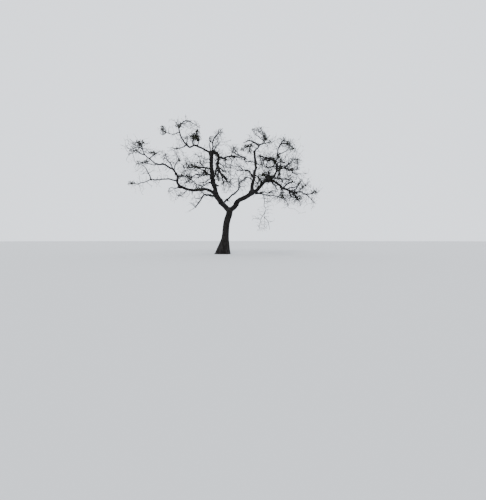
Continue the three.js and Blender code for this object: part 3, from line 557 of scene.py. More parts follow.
class Limb:
    def __init__(self, name, on, at, thick, legs, index, points=None, fine_end=0.0):
        self.name, self.on, self.index = name, on, index
        start = on.place(at) if on else np.zeros(3)
        if points is None:
            points = [start]
            for l in legs:
                points.append(points[-1] + step_of(l))
        else:
            points = [start] + list(points)
        r0, r1 = thick[0] / 2000, thick[1] / 2000
        line = smooth_line(points)
        self.mid, self.length = spaced(line, min(max(0.55 * r0, 0.014), 0.03))
        self.share = np.linspace(0, 1, len(self.mid))
        rg = np.random.default_rng(5000 + index)
        # Old wood is never quite straight: it kinks a little at each old growing point.
        if on:
            wide = min(0.20 * r0 + 0.0075, 0.018)
            knots = max(3, int(self.length / (0.075 + 1.6 * r0)))
            at_knots = np.linspace(0, 1, knots + 1)
            at_knots[1:-1] += rg.uniform(-0.3, 0.3, knots - 1) / knots
            off = rg.normal(size=(knots + 1, 3)) * wide * 0.8
            off[0] = off[-1] = 0
            kink = np.stack([np.interp(self.share, at_knots, off[:, k]) for k in range(3)], 1)
            kink[1:-1] = 0.25 * kink[:-2] + 0.5 * kink[1:-1] + 0.25 * kink[2:]
            self.mid = self.mid + kink
        far = self.share * self.length
        self.r0 = r0
        swell = COLLAR if on and on.on else FORK_COLLAR
        self.radius = (r0 + (r1 - r0) * self.share**0.85) * (1 + swell * np.exp(-far / (2.2 * r0)))
        if not on:
            self.radius = (r0 + (r1 - r0) * self.share) * (1 - 0.7 * ease(0.94, 1.0, self.share))
        self.radius = self.radius * (1 - fine_end * ease(0.35, 1.0, self.share))
        self.radius = self.radius * (1 + 0.06 * noise(np.stack([far / (3.1 * r0 + 0.05), far * 0 + index, far * 0], 1), 11))
        way = np.gradient(self.mid, axis=0)
        keep = max(1, int(round(0.8 * r0 / (self.length / len(self.mid)))))
        pad = np.pad(unit(way), ((keep, keep), (0, 0)), mode="edge")
        way = np.stack([np.convolve(pad[:, k], np.ones(2 * keep + 1) / (2 * keep + 1), "valid") for k in range(3)], 1)
        if not on:
            level = ease(0.0, 0.35, self.mid[:, 2])[:, None]
            way = way * level + np.array([0, 0, 1.0]) * (1 - level)
        self.way = unit(way)
        side = [np.array([1.0, 0, 0]) if abs(self.way[0, 2]) > 0.9 else np.array([0, 0, 1.0])]
        for w in self.way:
            v = side[-1] - w * (side[-1] @ w)
            side.append(v / np.linalg.norm(v))
        self.side = np.array(side[1:])
        self.up = np.cross(self.way, self.side)
        self.blend = 0.0
        if on:
            bend = 1 - abs(float(unit(points[1] - points[0]) @ on.heading(at)))
            self.blend = r0 * (0.3 + 0.9 * min(1, 1.6 * bend)) if on.on else 0.3 * r0
        self.low = self.mid.min(0) - self.radius.max() - self.blend
        self.high = self.mid.max(0) + self.radius.max() + self.blend
        if not on:
            self.low[:2] -= FLARE_EXTRA
            self.high[:2] += FLARE_EXTRA
        a = self.mid[:-1]
        self.d = self.mid[1:] - a
        self.dd = (self.d**2).sum(1)
        self.ad = (a * self.d).sum(1)
        self.aa = (a * a).sum(1)
        wide = self.radius[:-1, None] + (0 if on else FLARE_EXTRA)
        self.seg_low = np.minimum(a, self.mid[1:]) - wide
        self.seg_high = np.maximum(a, self.mid[1:]) + wide

    def place(self, at):
        return np.array([np.interp(at, self.share, self.mid[:, k]) for k in range(3)])

    def heading(self, at):
        return unit(np.array([np.interp(at, self.share, self.way[:, k]) for k in range(3)]))

    def thick_at(self, at):
        return float(np.interp(at, self.share, self.radius))

    def reach(self, p, sel):
        """How far outside the limb's skin each point is, and its share along the limb, by the chosen steps of its line."""
        a, way = self.mid[sel], self.d[sel]
        pd = p @ way.T - self.ad[sel]
        t = np.clip(pd / self.dd[sel], 0, 1)
        q = (p * p).sum(1)[:, None] - 2 * (p @ a.T) + self.aa[sel] - 2 * t * pd + t * t * self.dd[sel]
        r = self.radius[sel] + (self.radius[sel + 1] - self.radius[sel]) * t
        d = np.sqrt(np.maximum(q, 0)) - r
        k = d.argmin(1)
        n = np.arange(len(p))
        best, tt = d[n, k], t[n, k]
        if not self.on:
            from_mid = p - (a[k] + way[k] * tt[:, None])
            best = best - flare(p[:, 2], np.degrees(np.arctan2(from_mid[:, 1], from_mid[:, 0])))
        return best, (sel[k] + tt) / (len(self.mid) - 1)


def flare(z, bearing):
    lobes = FLARE_ROUND
    for toward, strong, wide in ROOT_LOBES:
        off = (bearing - toward + 180) % 360 - 180
        lobes = lobes + strong * np.exp(-((off / wide) ** 2))
    up = np.maximum(z, 0)
    return FLARE_EXTRA / 2 * (np.exp(-((up / FLARE_HEIGHT) ** FLARE_POWER)) + TOE * np.exp(-up / TOE_HEIGHT)) * lobes


# limbs that run out on their own, with no mass of twigs round the end
BARE_ENDS = {"left_drooping_limb": 0.35, "centre_limb": 0.35, "right_inner_limb": 0.15, "right_cross_limb": 0.55, "right_under_limb": 0.55, "hanging_twig": 0.55}

tree = [Limb("trunk", None, 0, TRUNK_THICK, TRUNK_LEGS, 0)]
by_name = {"trunk": tree[0]}
for name, on, at, thick, legs in LIMBS:
    tree.append(Limb(name, by_name[on], at, thick, legs, len(tree), fine_end=BARE_ENDS.get(name, 0.0)))
    by_name[name] = tree[-1]
for k, (on, at, thick, legs) in enumerate(BRANCHES):
    tree.append(Limb("branch_%d" % k, by_name[on], at, thick, legs, len(tree), fine_end=0.35))


def lean(turn):
    a = math.radians(turn)
    return np.array([[math.cos(a), 0, -math.sin(a)], [0, 1, 0], [math.sin(a), 0, math.cos(a)]])


# Each mass: its middle, half sizes and lean. Its limb runs on into it, down to a twig.
masses = {}
for name, on, off, half, turn in MASSES:
    limb = by_name[on]
    tip = limb.place(1.0)
    middle = tip + step_of(off)
    half, turned = np.array(half) / 1000, lean(turn)
    masses[name] = (middle, half, turned)
    rg = np.random.default_rng(900 + len(masses))
    onward = unit(0.55 * unit(middle - tip) + 0.45 * limb.heading(1.0) + 0.25 * rg.normal(size=3))
    far_end = middle + turned @ (half * 0.72 * unit(turned.T @ onward))
    halfway = 0.45 * tip + 0.55 * far_end + rg.normal(size=3) * 0.05
    thick = (2000 * limb.radius[-1], 8)
    tree.append(Limb("run_" + name, limb, 0.97, thick, None, len(tree), points=[tip + limb.heading(1.0) * 0.03, halfway, far_end]))
    for k in range(2):  # and forks there
        toward = middle + turned @ (half * 0.75 * unit(rg.normal(size=3)))
        last = tree[-1 - k]
        at = rg.uniform(0.3, 0.6)
        here = last.place(at)
        tree.append(Limb("fork_%d_%s" % (k, name), last, at, (1300 * last.thick_at(at), 7), None, len(tree), points=[0.5 * (here + toward) + rg.normal(size=3) * 0.04, toward]))

burls = []
for on, at, bearing, rise, out, r in BURLS:
    c = by_name[on].place(at) + step_of((out * 1000, bearing, rise))
    burls.append((c, r))


def smooth_least(a, b, k):
    h = np.maximum(k - np.abs(a - b), 0) / np.maximum(k, 1e-9)
    return np.minimum(a, b) - h * h * k / 4


def union(p, near, lumps):
    """How far outside the whole tree's skin each point is. For each near limb, how far outside it on its own, in two
    rows: first with nothing behind its first ring counted as its own, then with what is behind counted as further off."""
    low, high = p.min(0), p.max(0)
    total, each = np.full(len(p), 9.0), {}
    for limb in near:
        room = 0.04 + limb.blend
        sel = np.nonzero(np.all(limb.seg_low < high + room, 1) & np.all(limb.seg_high > low - room, 1))[0]
        if not len(sel):
            each[limb.index] = np.full((2, len(p)), 9.0)
            continue
        d, s = limb.reach(p, sel)
        k = limb.blend * (1 - ease(2.0 * limb.r0, 4.5 * limb.r0, s * limb.length))
        total = smooth_least(total, d, k)
        if limb.on:
            behind = np.maximum(0, -((p - limb.mid[0]) @ limb.way[0]))
            each[limb.index] = np.stack([np.where(s > 1e-6, d, d + 9.0), d + 3 * behind])
        else:
            each[limb.index] = np.stack([d, d])
    for c, r in lumps:
        if np.all(c - 2 * r < high) and np.all(c + 2 * r > low):
            total = smooth_least(total, np.linalg.norm(p - c, axis=1) - r, 0.9 * r)
    return total, each


def in_parts(p, near, lumps, size):
    totals, eachs = [], []
    for k in range(0, len(p), size):
        t, e = union(p[k : k + size], near, lumps)
        totals.append(t)
        eachs.append(e)
    return np.concatenate(totals), {i: np.concatenate([e[i] for e in eachs], 1) for i in eachs[0]}


# ---------- the skin of wood ----------

HEMISPHERE = (18, 38, 58, 76)  # degrees past the last ring, for the rounded end


def skin(limb):
    """Corners, four-cornered faces, three-cornered faces and the height of the bark for one limb."""
    r_mean = 0.65 * limb.r0 + 0.35 * limb.radius[-1]
    cell = 0.0062 if r_mean > 0.045 else 0.0075 if r_mean > 0.022 else 0.0098
    around = int(np.clip(round(2 * math.pi * r_mean / cell), 8, 150))
    if not limb.on:
        around = 150
    rows = max(6, int(math.ceil(limb.length / (cell * (1.9 if r_mean > 0.022 else 2.4)))))
    at = np.linspace(0, 1, rows + 1)
    mid = np.stack([np.interp(at, limb.share, limb.mid[:, k]) for k in range(3)], 1)
    way = unit(np.stack([np.interp(at, limb.share, limb.way[:, k]) for k in range(3)], 1))
    side = np.stack([np.interp(at, limb.share, limb.side[:, k]) for k in range(3)], 1)
    side = unit(side - way * (side * way).sum(1)[:, None])
    up = np.cross(way, side)
    radius = np.interp(at, limb.share, limb.radius)
    lean = np.zeros(rows + 1)
    for a in HEMISPHERE:  # rings over the rounded end
        mid, way, side, up = (np.vstack([x, x[rows]]) for x in (mid, way, side, up))
        radius, at, lean = np.r_[radius, radius[rows]], np.r_[at, 1.0], np.r_[lean, math.radians(a)]
    count = len(at)
    turn = np.linspace(0, 2 * math.pi, around, endpoint=False)
    out = (
        (side[:, None] * np.cos(turn)[None, :, None] + up[:, None] * np.sin(turn)[None, :, None]) * np.cos(lean)[:, None, None]
        + way[:, None] * np.sin(lean)[:, None, None]
    ).reshape(-1, 3)
    origin = np.repeat(mid, around, 0)
    r = np.repeat(radius, around)
    far = np.repeat(at * limb.length + lean * radius, around)
    angle = np.tile(turn, count)

    low, high = limb.low - 0.02, limb.high + 0.02
    near = [o for o in tree if np.all(o.low < high) and np.all(o.high > low)]
    lumps = [b for b in burls if np.all(b[0] - 2 * b[1] < high) and np.all(b[0] + 2 * b[1] > low)]

    t = r.copy()
    if not limb.on:
        t += flare(origin[:, 2], np.degrees(np.arctan2(out[:, 1], out[:, 0])))
    most = t + 0.035 + 1.2 * max([o.blend for o in near if o is limb or o.on is limb] + [0.01])
    size = around * max(1, int(900 / around))
    for _ in range(6):
        f, each = in_parts(origin + out * t[:, None], near, lumps, size)
        t = np.clip(t - f, 0.25 * r, most)
    p = origin + out * t[:, None]
    f, each = in_parts(p, near, lumps, size)
    own, own_soft = each[limb.index]
    own = np.where(own > 8, own - 9, own)
    others = [each[o.index] for o in near if o is not limb]
    other, other_soft = np.min(others, axis=0) if others else np.full((2, len(p)), 9.0)
    tiny = 0.0015
    slope = np.stack([in_parts(p + tiny * np.eye(3)[k], near, lumps, size)[0] - f for k in range(3)], 1)
    normal = unit(slope)
    lost = (normal * out).sum(1) < 0.1
    normal[lost] = out[lost]

    # Bark: long broken ridges between cracks, in the limb's own directions, and a common roughness near a fork.
    wide = float(np.clip(0.20 * limb.r0 + 0.006, 0.008, 0.025))
    deep = float(np.clip(0.095 * limb.r0, 0.0009, 0.0095))
    rr = limb.r0 * 0.92 + (0 if limb.on else 0.4 * np.maximum(t - r, 0))
    q = np.stack([np.cos(angle) * rr / wide, np.sin(angle) * rr / wide, far / (wide * 5.2)], 1) + 13.7 * limb.index
    bend = np.stack([noise(q * [0.45, 0.45, 1.1], 3), noise(q * [0.45, 0.45, 1.1], 4), 0.5 * noise(q, 5)], 1)
    q = q + 0.75 * bend
    crack, plate = plates(q, 21)
    ridge = ease(0.0, 0.42, crack) * (0.6 + 0.4 * plate)
    across, _ = plates(q * [0.9, 0.9, 4.6] + 5.5, 23)
    furrow = 1 - np.abs(noise(q * [2.4, 2.4, 1.5], 29))
    fine = rough(q * [3.6, 3.6, 7.0], 3, 31)
    own_relief = 0.80 * ridge - 0.20 * (1 - ease(0.0, 0.16, across)) * ridge + 0.24 * furrow + 0.20 * fine
    gnarl = rough(p * (0.55 / max(limb.r0, 0.02)) + 3.1 * limb.index, 2, 51)
    shared = 0.60 + 0.34 * rough(p * 42, 4, 41) + 0.12 * (1 - np.abs(noise(p * 75, 47)))
    apart = ease(0.0, max(0.35 * limb.r0, 0.006), other_soft - own)
    if limb.on:
        apart = apart * ease(0.1, 1.3, far / limb.r0)
    relief = own_relief * apart + shared * (1 - apart)
    fade = 1.0 if limb.on else ease(0.0, 0.03, p[:, 2])
    push = (deep * (relief - 0.50) + 0.06 * limb.r0 * gnarl * apart) * fade
    p = p + normal * push[:, None]
    if not limb.on:
        p[:around, 2] = 0.0
        p[:, 2] = np.maximum(p[:, 2], 0.0)

    foreign = other < own - 0.004
    i = np.arange(count - 1)[:, None] * around
    j = np.arange(around)[None, :]
    k = (j + 1) % around
    quads = np.stack(np.broadcast_arrays(i + j, i + k, i + k + around, i + j + around), -1).reshape(-1, 4)
    quads = quads[~foreign[quads].all(1)]
    pokes = f > 0.003  # off the skin, where a line outward never met it
    quads = quads[~(pokes[quads].any(1) & (foreign | pokes)[quads].any(1))]
    tris = np.zeros((0, 3), int)
    top = (count - 1) * around
    if not foreign[top:].all():  # the very end
        pole = len(p)
        p = np.vstack([p, p[top:].mean(0) + way[-1] * 0.1 * radius[-1]])
        relief = np.r_[relief, 0.6]
        tris = np.stack([top + j[0], top + k[0], np.full(around, pole)], 1)
    if not limb.on:  # the flat cut
        foot = len(p)
        p = np.vstack([p, [0, 0, 0]])
        relief = np.r_[relief, 0.4]
        tris = np.vstack([tris, np.stack([k[0], j[0], np.full(around, foot)], 1)])
    used = np.unique(np.r_[quads.ravel(), tris.ravel()])
    renumber = np.full(len(p), -1)
    renumber[used] = np.arange(len(used))
    return p[used], renumber[quads], renumber[tris], np.clip(relief[used], 0, 1.2)


def make_mesh(name, corners, quads, tris, material, heights=None, smooth=True):
    mesh = bpy.data.meshes.new(name)
    nq, nt = len(quads), len(tris)
    mesh.vertices.add(len(corners))
    mesh.vertices.foreach_set("co", np.ascontiguousarray(corners, dtype=np.float32).ravel())
    loops = np.concatenate([np.asarray(quads).ravel(), np.asarray(tris).ravel()]).astype(np.int32)
    mesh.loops.add(len(loops))
    mesh.loops.foreach_set("vertex_index", loops)
    mesh.polygons.add(nq + nt)
    starts = np.r_[np.arange(nq) * 4, nq * 4 + np.arange(nt) * 3].astype(np.int32)
    mesh.polygons.foreach_set("loop_start", starts)
    mesh.polygons.foreach_set("use_smooth", np.full(nq + nt, smooth))
    mesh.update(calc_edges=True)
    if heights is not None:
        # The bark's relief height, which the bark finish reads to paint shade into its cracks.
        layer = mesh.attributes.new("ridge", "FLOAT", "POINT")
        layer.data.foreach_set("value", np.ascontiguousarray(heights, dtype=np.float32))
    mesh.materials.append(material)
    piece = bpy.data.objects.new(name, mesh)
    bpy.context.scene.collection.objects.link(piece)
    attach(piece, "root")
    return piece


def joined(parts):
    """Several (corners, quads, tris, heights) as one."""
    corners, quads, tris, heights, n = [], [], [], [], 0
    for c, q, t, h in parts:
        corners.append(c)
        quads.append(q + n)
        tris.append(t + n)
        heights.append(h)
        n += len(c)
    return np.vstack(corners), np.vstack(quads), np.vstack(tris), np.concatenate(heights)

# ---------- twigs ----------

STEP = 0.034  # one growing season of a twig
rng = np.random.default_rng(417)


def scattered(count, hollow=0.0):
    """Points within a ball of one, evenly, or towards its outside."""
    v = unit(rng.normal(size=(count, 3)))
    return v * (hollow + (1 - hollow) * rng.random(count)[:, None]) ** (1 / 3)


aims = []
for name, (middle, half, turned) in masses.items():
    room = 4.19 * half.prod()
    knots = scattered(max(5, int(70 * room)))  # twigs gather in sprays with gaps between them
    many = int(200 + 3200 * room)
    pick = knots[rng.integers(0, len(knots), many)] + rng.normal(size=(many, 3)) * 0.17
    pick = pick[np.linalg.norm(pick, axis=1) < 1.02]
    aims.append(middle + (pick * half) @ turned.T)


def on_wood(on, at, off):
    limb = by_name[on] if isinstance(on, str) else tree[len(LIMBS) + 1 + on]  # a name, or the number of a branch
    return limb.place(at) + np.array(off) / 1000


tufts = []
for on, at, off, (wide, tall), dense in TUFTS:
    middle = on_wood(on, at, off)
    half = np.array([wide, 0.55 * (wide + tall), tall]) / 1000 * 1.2
    tufts.append((middle, half, dense))
    many = int(24 + 7000 * half[0] * half[2] * (0.3 + dense))
    pick = rng.normal(size=(many, 3)) * 0.52
    aims.append(middle + pick[np.linalg.norm(pick, axis=1) < 1.5] * half)

for on, at, off, (wide, tall), dense in SPRAYS:
    middle = on_wood(on, at, off)
    half = np.array([wide, 0.6 * (wide + tall), tall]) / 1000
    knots = scattered(int(7 + 60 * half[0] * half[2] / 0.1))
    many = int(1500 * dense * half[0] * half[2] / 0.1 * 0.1)
    pick = knots[rng.integers(0, len(knots), many)] + rng.normal(size=(many, 3)) * 0.2
    aims.append(middle + pick[np.linalg.norm(pick, axis=1) < 1.2] * half)

for limb in tree[1:]:  # small side sprays all along the outer wood
    if limb.r0 > 0.085:
        continue
    for at in rng.uniform(0.15, 1.0, rng.poisson(limb.length * 9.0)):
        along, here = limb.heading(at), limb.place(at)
        away = unit(rng.normal(size=3) + np.array([0, 0, 0.25]))
        away = unit(away - along * (away @ along) * 0.7 + 0.35 * along)
        long = rng.uniform(0.10, 0.50) * (0.6 + 0.6 * min(1, limb.r0 / 0.03)) * (0.6 if here[2] > 4.6 else 1)
        many = int(rng.integers(4, 9) * (0.5 + long / 0.3))
        u = np.sqrt(rng.uniform(0.05, 1, many))[:, None]
        aims.append(here + away * u * long + rng.normal(size=(many, 3)) * u * long * 0.26)

aims = np.vstack(aims)
aims = aims[(aims[:, 2] > 0.75) & np.all(aims > np.array(CAD_BOX[0]) + 0.02, 1) & np.all(aims < np.array(CAD_BOX[1]) + 0.03, 1)]

spot, parent, owner, heading, born = [], [], [], [], []
for limb in tree[1:]:
    first = 0.18 if limb.r0 < 0.06 else 0.45
    for a in np.r_[np.arange(first, 0.999, (0.13 if limb.r0 > 0.02 else 0.09) / limb.length), 1.0]:
        spot.append(limb.place(a))
        heading.append(limb.heading(a))
        parent.append(-1)
        owner.append(limb.thick_at(a))
spot, heading = np.array(spot), np.array(heading)
parent, owner = list(parent), list(owner)
roots = len(spot)
room = 90000
spots, headings = np.zeros((room, 3)), np.zeros((room, 3))
spots[:roots], headings[:roots] = spot, heading
n = roots
children = np.zeros(room, int)
kick = rng.normal(size=(room, 3))
parents = np.full(room, -1)

REACH, KILL = 0.55, 0.041
nearest = np.full(len(aims), -1)
distance = np.full(len(aims), 9.0)
fresh = (0, n)
for season in range(90):
    a0, a1 = fresh
    for k in range(a0, a1, 1500):
        block = spots[k : min(k + 1500, a1)]
        d = np.sqrt(np.maximum((aims**2).sum(1)[:, None] + (block**2).sum(1)[None] - 2 * aims @ block.T, 0))
        i = d.argmin(1)
        m = d[np.arange(len(aims)), i]
        better = m < distance
        nearest[better], distance[better] = k + i[better], m[better]
    live = distance > KILL
    aims, nearest, distance = aims[live], nearest[live], distance[live]
    drawn = distance < REACH
    if not drawn.any():
        break
    who, where = np.unique(nearest[drawn], return_inverse=True)
    pull = np.zeros((len(who), 3))
    np.add.at(pull, where, unit(aims[drawn] - spots[nearest[drawn]]))
    ok = children[who] < np.where(who < roots, 2, 3)
    who, pull = who[ok], pull[ok]
    if not len(who):
        break
    way = unit(unit(pull) + 0.35 * headings[who] + 0.26 * kick[who] + np.array([0, 0, 0.02]))
    new = spots[who] + way * STEP * rng.uniform(0.75, 1.2, (len(who), 1))
    take = min(len(who), room - n)
    spots[n : n + take], headings[n : n + take] = new[:take], way[:take]
    parents[n : n + take] = who[:take]
    children[who[:take]] += 1
    fresh = (n, n + take)
    n += take
    if n >= room:
        break

# The bends ease a little as the twigs thicken.
heavier = np.zeros(n)
for i in range(n - 1, roots - 1, -1):
    heavier[i] += 1
    if parents[i] >= roots:
        heavier[parents[i]] += heavier[i]
onward = np.full(n, -1)
for i in range(roots, n):
    q = parents[i]
    if q >= roots and (onward[q] < 0 or heavier[i] > heavier[onward[q]]):
        onward[q] = i
inner = np.nonzero(onward >= 0)[0]
inner = inner[inner >= roots]
for _ in range(2):
    eased = 0.5 * spots[inner] + 0.25 * spots[parents[inner]] + 0.25 * spots[onward[inner]]
    spots[inner] = eased

# Thickness: each twig carries what grows from it.
TIP, POWER = 0.0029, 2.05
load = np.zeros(n)
for i in range(n - 1, roots - 1, -1):
    load[i] = max(load[i], TIP**POWER)
    if parents[i] >= roots:
        load[parents[i]] += load[i]
thick = load ** (1 / POWER)
main = np.full(n, -1)
for i in range(roots, n):
    q = parents[i]
    if q >= roots and (main[q] < 0 or load[i] > load[main[q]]):
        main[q] = i
owner = np.array(owner)
for i in range(roots, n):  # no twig is thicker than what it grows on
    q = parents[i]
    limit = 0.62 * owner[q] if q < roots else thick[q] * 0.98
    thick[i] = min(thick[i], limit)

# One ring of corners at each joint, and one more where a side twig sets off.
corners, quads, piece_of = [], [], []
ring_at = np.full(n, -1)
frames = np.zeros((n, 3))
made = 0


def ring(middle, way, side, r, sides):
    up = np.cross(way, side)
    turn = np.arange(sides) * 2 * math.pi / sides
    return middle + r * (np.cos(turn)[:, None] * side + np.sin(turn)[:, None] * up)


sides_of = np.zeros(n, int)
for i in range(roots, n):
    q = parents[i]
    way = spots[i] - spots[q]
    way = way / np.linalg.norm(way)
    ongoing = q >= roots and main[q] == i
    if ongoing:
        start, side, sides = ring_at[q], frames[q], sides_of[q]
    else:
        sides = 8 if thick[i] > 0.013 else 6 if thick[i] > 0.007 else 5 if thick[i] > 0.004 else 4
        side = np.cross(way, [0.3, 0.2, 0.9])
        side /= np.linalg.norm(side)
        corners.append(ring(spots[q], way, side, thick[i] * 1.12, sides))
        start = made
        made += sides
    along = way
    if main[i] >= 0:
        along = along + unit(spots[main[i]] - spots[i])
        along = along / np.linalg.norm(along)
    side = side - along * (side @ along)
    side = side / np.linalg.norm(side)
    frames[i] = side
    bulge = 1.0 if main[i] < 0 else 1.0 + 0.22 * rng.random()
    corners.append(ring(spots[i], along, side, thick[i] * (0.55 if main[i] < 0 else bulge), sides))
    ring_at[i], sides_of[i] = made, sides
    made += sides
    for k in range(sides):
        k2 = (k + 1) % sides
        quads.append((start + k, start + k2, ring_at[i] + k2, ring_at[i] + k))
        piece_of.append(i)
corners = np.vstack(corners)
quads = np.array(quads)
piece_of = np.array(piece_of)
ends = np.array([i for i in range(roots, n) if main[i] < 0])
caps = np.array([[ring_at[i], ring_at[i] + k + 1, ring_at[i] + k + 2] for i in ends for k in range(sides_of[i] - 2)])
cap_of = np.repeat(ends, sides_of[ends] - 2)

# ---------- withered leaves ----------

# A small blunt leaf, widest past its middle, folded and curled as it dries: along, across, up.
LEAF = np.array([[0, 0, 0], [0.34, 0.34, 0.07], [0.70, 0.46, 0.10], [0.98, 0.12, 0.0], [0.98, -0.12, 0.0], [0.70, -0.46, 0.10], [0.34, -0.34, 0.07], [0.55, 0, -0.05]])
LEAF_FACES = np.array([[0, 7, 1], [1, 7, 2], [2, 7, 3], [3, 7, 4], [4, 7, 5], [5, 7, 6], [6, 7, 0]])

joints = np.arange(roots, n)
inside = np.zeros(n)
for middle, half, dense in tufts:
    far = np.linalg.norm((spots[joints] - middle) / half, axis=1)
    inside[joints] = np.maximum(inside[joints], dense * np.exp(-0.9 * far**2))
for name, (middle, half, turned) in masses.items():
    far = np.linalg.norm(((spots[joints] - middle) @ turned) / half, axis=1)
    inside[joints] = np.maximum(inside[joints], np.where(far < 1.05, 0.08, 0))
leafy = joints[(rng.random(len(joints)) < np.clip(inside[joints] * 0.95, 0.02, 1)) & (thick[joints] < 0.009)]
many = (rng.integers(2, 5, len(leafy)) + np.round(8 * inside[leafy]).astype(int))
i = np.repeat(leafy, many)
u = rng.random(len(i))[:, None]
side = unit(np.cross(headings[i], unit(rng.normal(size=(len(i), 3)))))
leaf_way = unit(0.45 * headings[i] + 0.8 * side + 0.35 * rng.normal(size=(len(i), 3)) + np.array([0, 0, -0.1]))
leaf_base = spots[parents[i]] * (1 - u) + spots[i] * u + side * thick[i][:, None] * 0.7
leaf_long = rng.uniform(0.022, 0.042, len(i))
leaf_kind = np.repeat(rng.choice(3, p=(0.46, 0.30, 0.24), size=len(leafy)), many)
across = unit(np.cross(leaf_way, unit(rng.normal(size=leaf_way.shape))))
over = np.cross(leaf_way, across)
wide = leaf_long * rng.uniform(0.34, 0.50, len(leaf_long))
leaf_corners = (
    leaf_base[:, None]
    + leaf_way[:, None] * (LEAF[None, :, 0:1] * leaf_long[:, None, None])
    + across[:, None] * (LEAF[None, :, 1:2] * wide[:, None, None])
    + over[:, None] * (LEAF[None, :, 2:3] * leaf_long[:, None, None] * 1.6)
)

# ---------- finishes ----------


def colour(r, g, b):
    return (r, g, b, 1)


def bark(name, crack, dry, grey, size, rough_=0.95):
    material = bpy.data.materials.new(name)
    material.use_nodes = True
    tree_ = material.node_tree
    shader = tree_.nodes["Principled BSDF"]
    shader.inputs["Roughness"].default_value = rough_
    shader.inputs["Specular IOR Level"].default_value = 0.22
    where = tree_.nodes.new("ShaderNodeTexCoord")
    height = tree_.nodes.new("ShaderNodeAttribute")
    height.attribute_name = "ridge"
    patch = tree_.nodes.new("ShaderNodeTexNoise")
    patch.inputs["Scale"].default_value = size
    patch.inputs["Detail"].default_value = 3
    tree_.links.new(where.outputs["Object"], patch.inputs["Vector"])
    tones = tree_.nodes.new("ShaderNodeValToRGB")
    tones.color_ramp.elements[0].position, tones.color_ramp.elements[0].color = 0.36, dry
    tones.color_ramp.elements[1].position, tones.color_ramp.elements[1].color = 0.66, grey
    tree_.links.new(patch.outputs["Fac"], tones.inputs["Fac"])
    # Painted shade: where the bark's relief is low, down in its cracks, the colour runs to the near black crack colour.
    crack_shade_ramp = tree_.nodes.new("ShaderNodeValToRGB")
    crack_shade_ramp.color_ramp.elements[0].position, crack_shade_ramp.color_ramp.elements[0].color = 0.05, (0, 0, 0, 1)
    crack_shade_ramp.color_ramp.elements[1].position, crack_shade_ramp.color_ramp.elements[1].color = 0.75, (1, 1, 1, 1)
    tree_.links.new(height.outputs["Fac"], crack_shade_ramp.inputs["Fac"])
    mix = tree_.nodes.new("ShaderNodeMix")
    mix.data_type = "RGBA"
    mix.inputs["A"].default_value = crack
    tree_.links.new(crack_shade_ramp.outputs["Color"], mix.inputs["Factor"])
    tree_.links.new(tones.outputs["Color"], mix.inputs["B"])
    tree_.links.new(mix.outputs["Result"], shader.inputs["Base Color"])
    grain = tree_.nodes.new("ShaderNodeTexNoise")
    grain.inputs["Scale"].default_value = 190
    grain.inputs["Detail"].default_value = 2
    tree_.links.new(where.outputs["Object"], grain.inputs["Vector"])
    bump = tree_.nodes.new("ShaderNodeBump")
    bump.inputs["Strength"].default_value = 0.35
    bump.inputs["Distance"].default_value = 0.002
    tree_.links.new(grain.outputs["Fac"], bump.inputs["Height"])
    tree_.links.new(bump.outputs["Normal"], shader.inputs["Normal"])
    return material


def plain(name, rgb, rough_=0.9):
    material = bpy.data.materials.new(name)
    material.use_nodes = True
    shader = material.node_tree.nodes["Principled BSDF"]
    shader.inputs["Base Color"].default_value = (*rgb, 1)
    shader.inputs["Roughness"].default_value = rough_
    shader.inputs["Specular IOR Level"].default_value = 0.2
    return material


# The first colour of each bark is painted shade for its cracks; the other two are the bark's own tones, laid in random
# patches.
TRUNK_BARK = bark("trunk_bark", colour(0.004, 0.0035, 0.0035), colour(0.015, 0.013, 0.012), colour(0.038, 0.035, 0.034), 9)
BOUGH_BARK = bark("bough_bark", colour(0.004, 0.0035, 0.0035), colour(0.015, 0.013, 0.0125), colour(0.036, 0.034, 0.034), 11)
LIMB_BARK = bark("limb_bark", colour(0.005, 0.0045, 0.0045), colour(0.014, 0.013, 0.013), colour(0.032, 0.031, 0.032), 14)
TWIG = plain("twig_bark", (0.017, 0.016, 0.017))
LEAVES = [
    ("olive", plain("olive_leaf", (0.040, 0.047, 0.021))),
    ("brown", plain("brown_leaf", (0.044, 0.034, 0.022))),
    ("grey", plain("grey_leaf", (0.050, 0.054, 0.048))),
]

# ---------- pieces ----------

skins = {limb.name: skin(limb) for limb in tree}
boughs = [l.name for l in tree[1:] if l.name in by_name and (l.name.endswith("bough") or l.name.endswith("riser"))]
limbs = [l.name for l in tree[1:] if l.name in by_name and l.name not in boughs]

trunk = make_mesh("trunk_skin", *skins["trunk"][:3], TRUNK_BARK, skins["trunk"][3])
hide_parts("trunk")


def on_left(name):
    return by_name[name].mid[:, 0].mean() < 0.15


for side in ("left", "right"):
    for kind, names, finish in (("bough", boughs, BOUGH_BARK), ("limb", limbs, LIMB_BARK)):
        here = [m for m in names if on_left(m) == (side == "left")]
        parts = [skins[m] for m in here]
        if kind == "limb":
            parts += [skins[l.name] for l in tree[len(LIMBS) + 1 :] if (l.mid[0, 0] < 0.15) == (side == "left")]
        c, q, t, h = joined(parts)
        piece = make_mesh("%s_%s_skin" % (side, kind), c, q, t, finish, h)
        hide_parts(*here)
        print(piece.name, len(q) * 2 + len(t))


def some(corners, quads, tris):
    used = np.unique(np.r_[quads.ravel(), tris.ravel()])
    renumber = np.full(len(corners), -1)
    renumber[used] = np.arange(len(used))
    return corners[used], renumber[quads], renumber[tris]


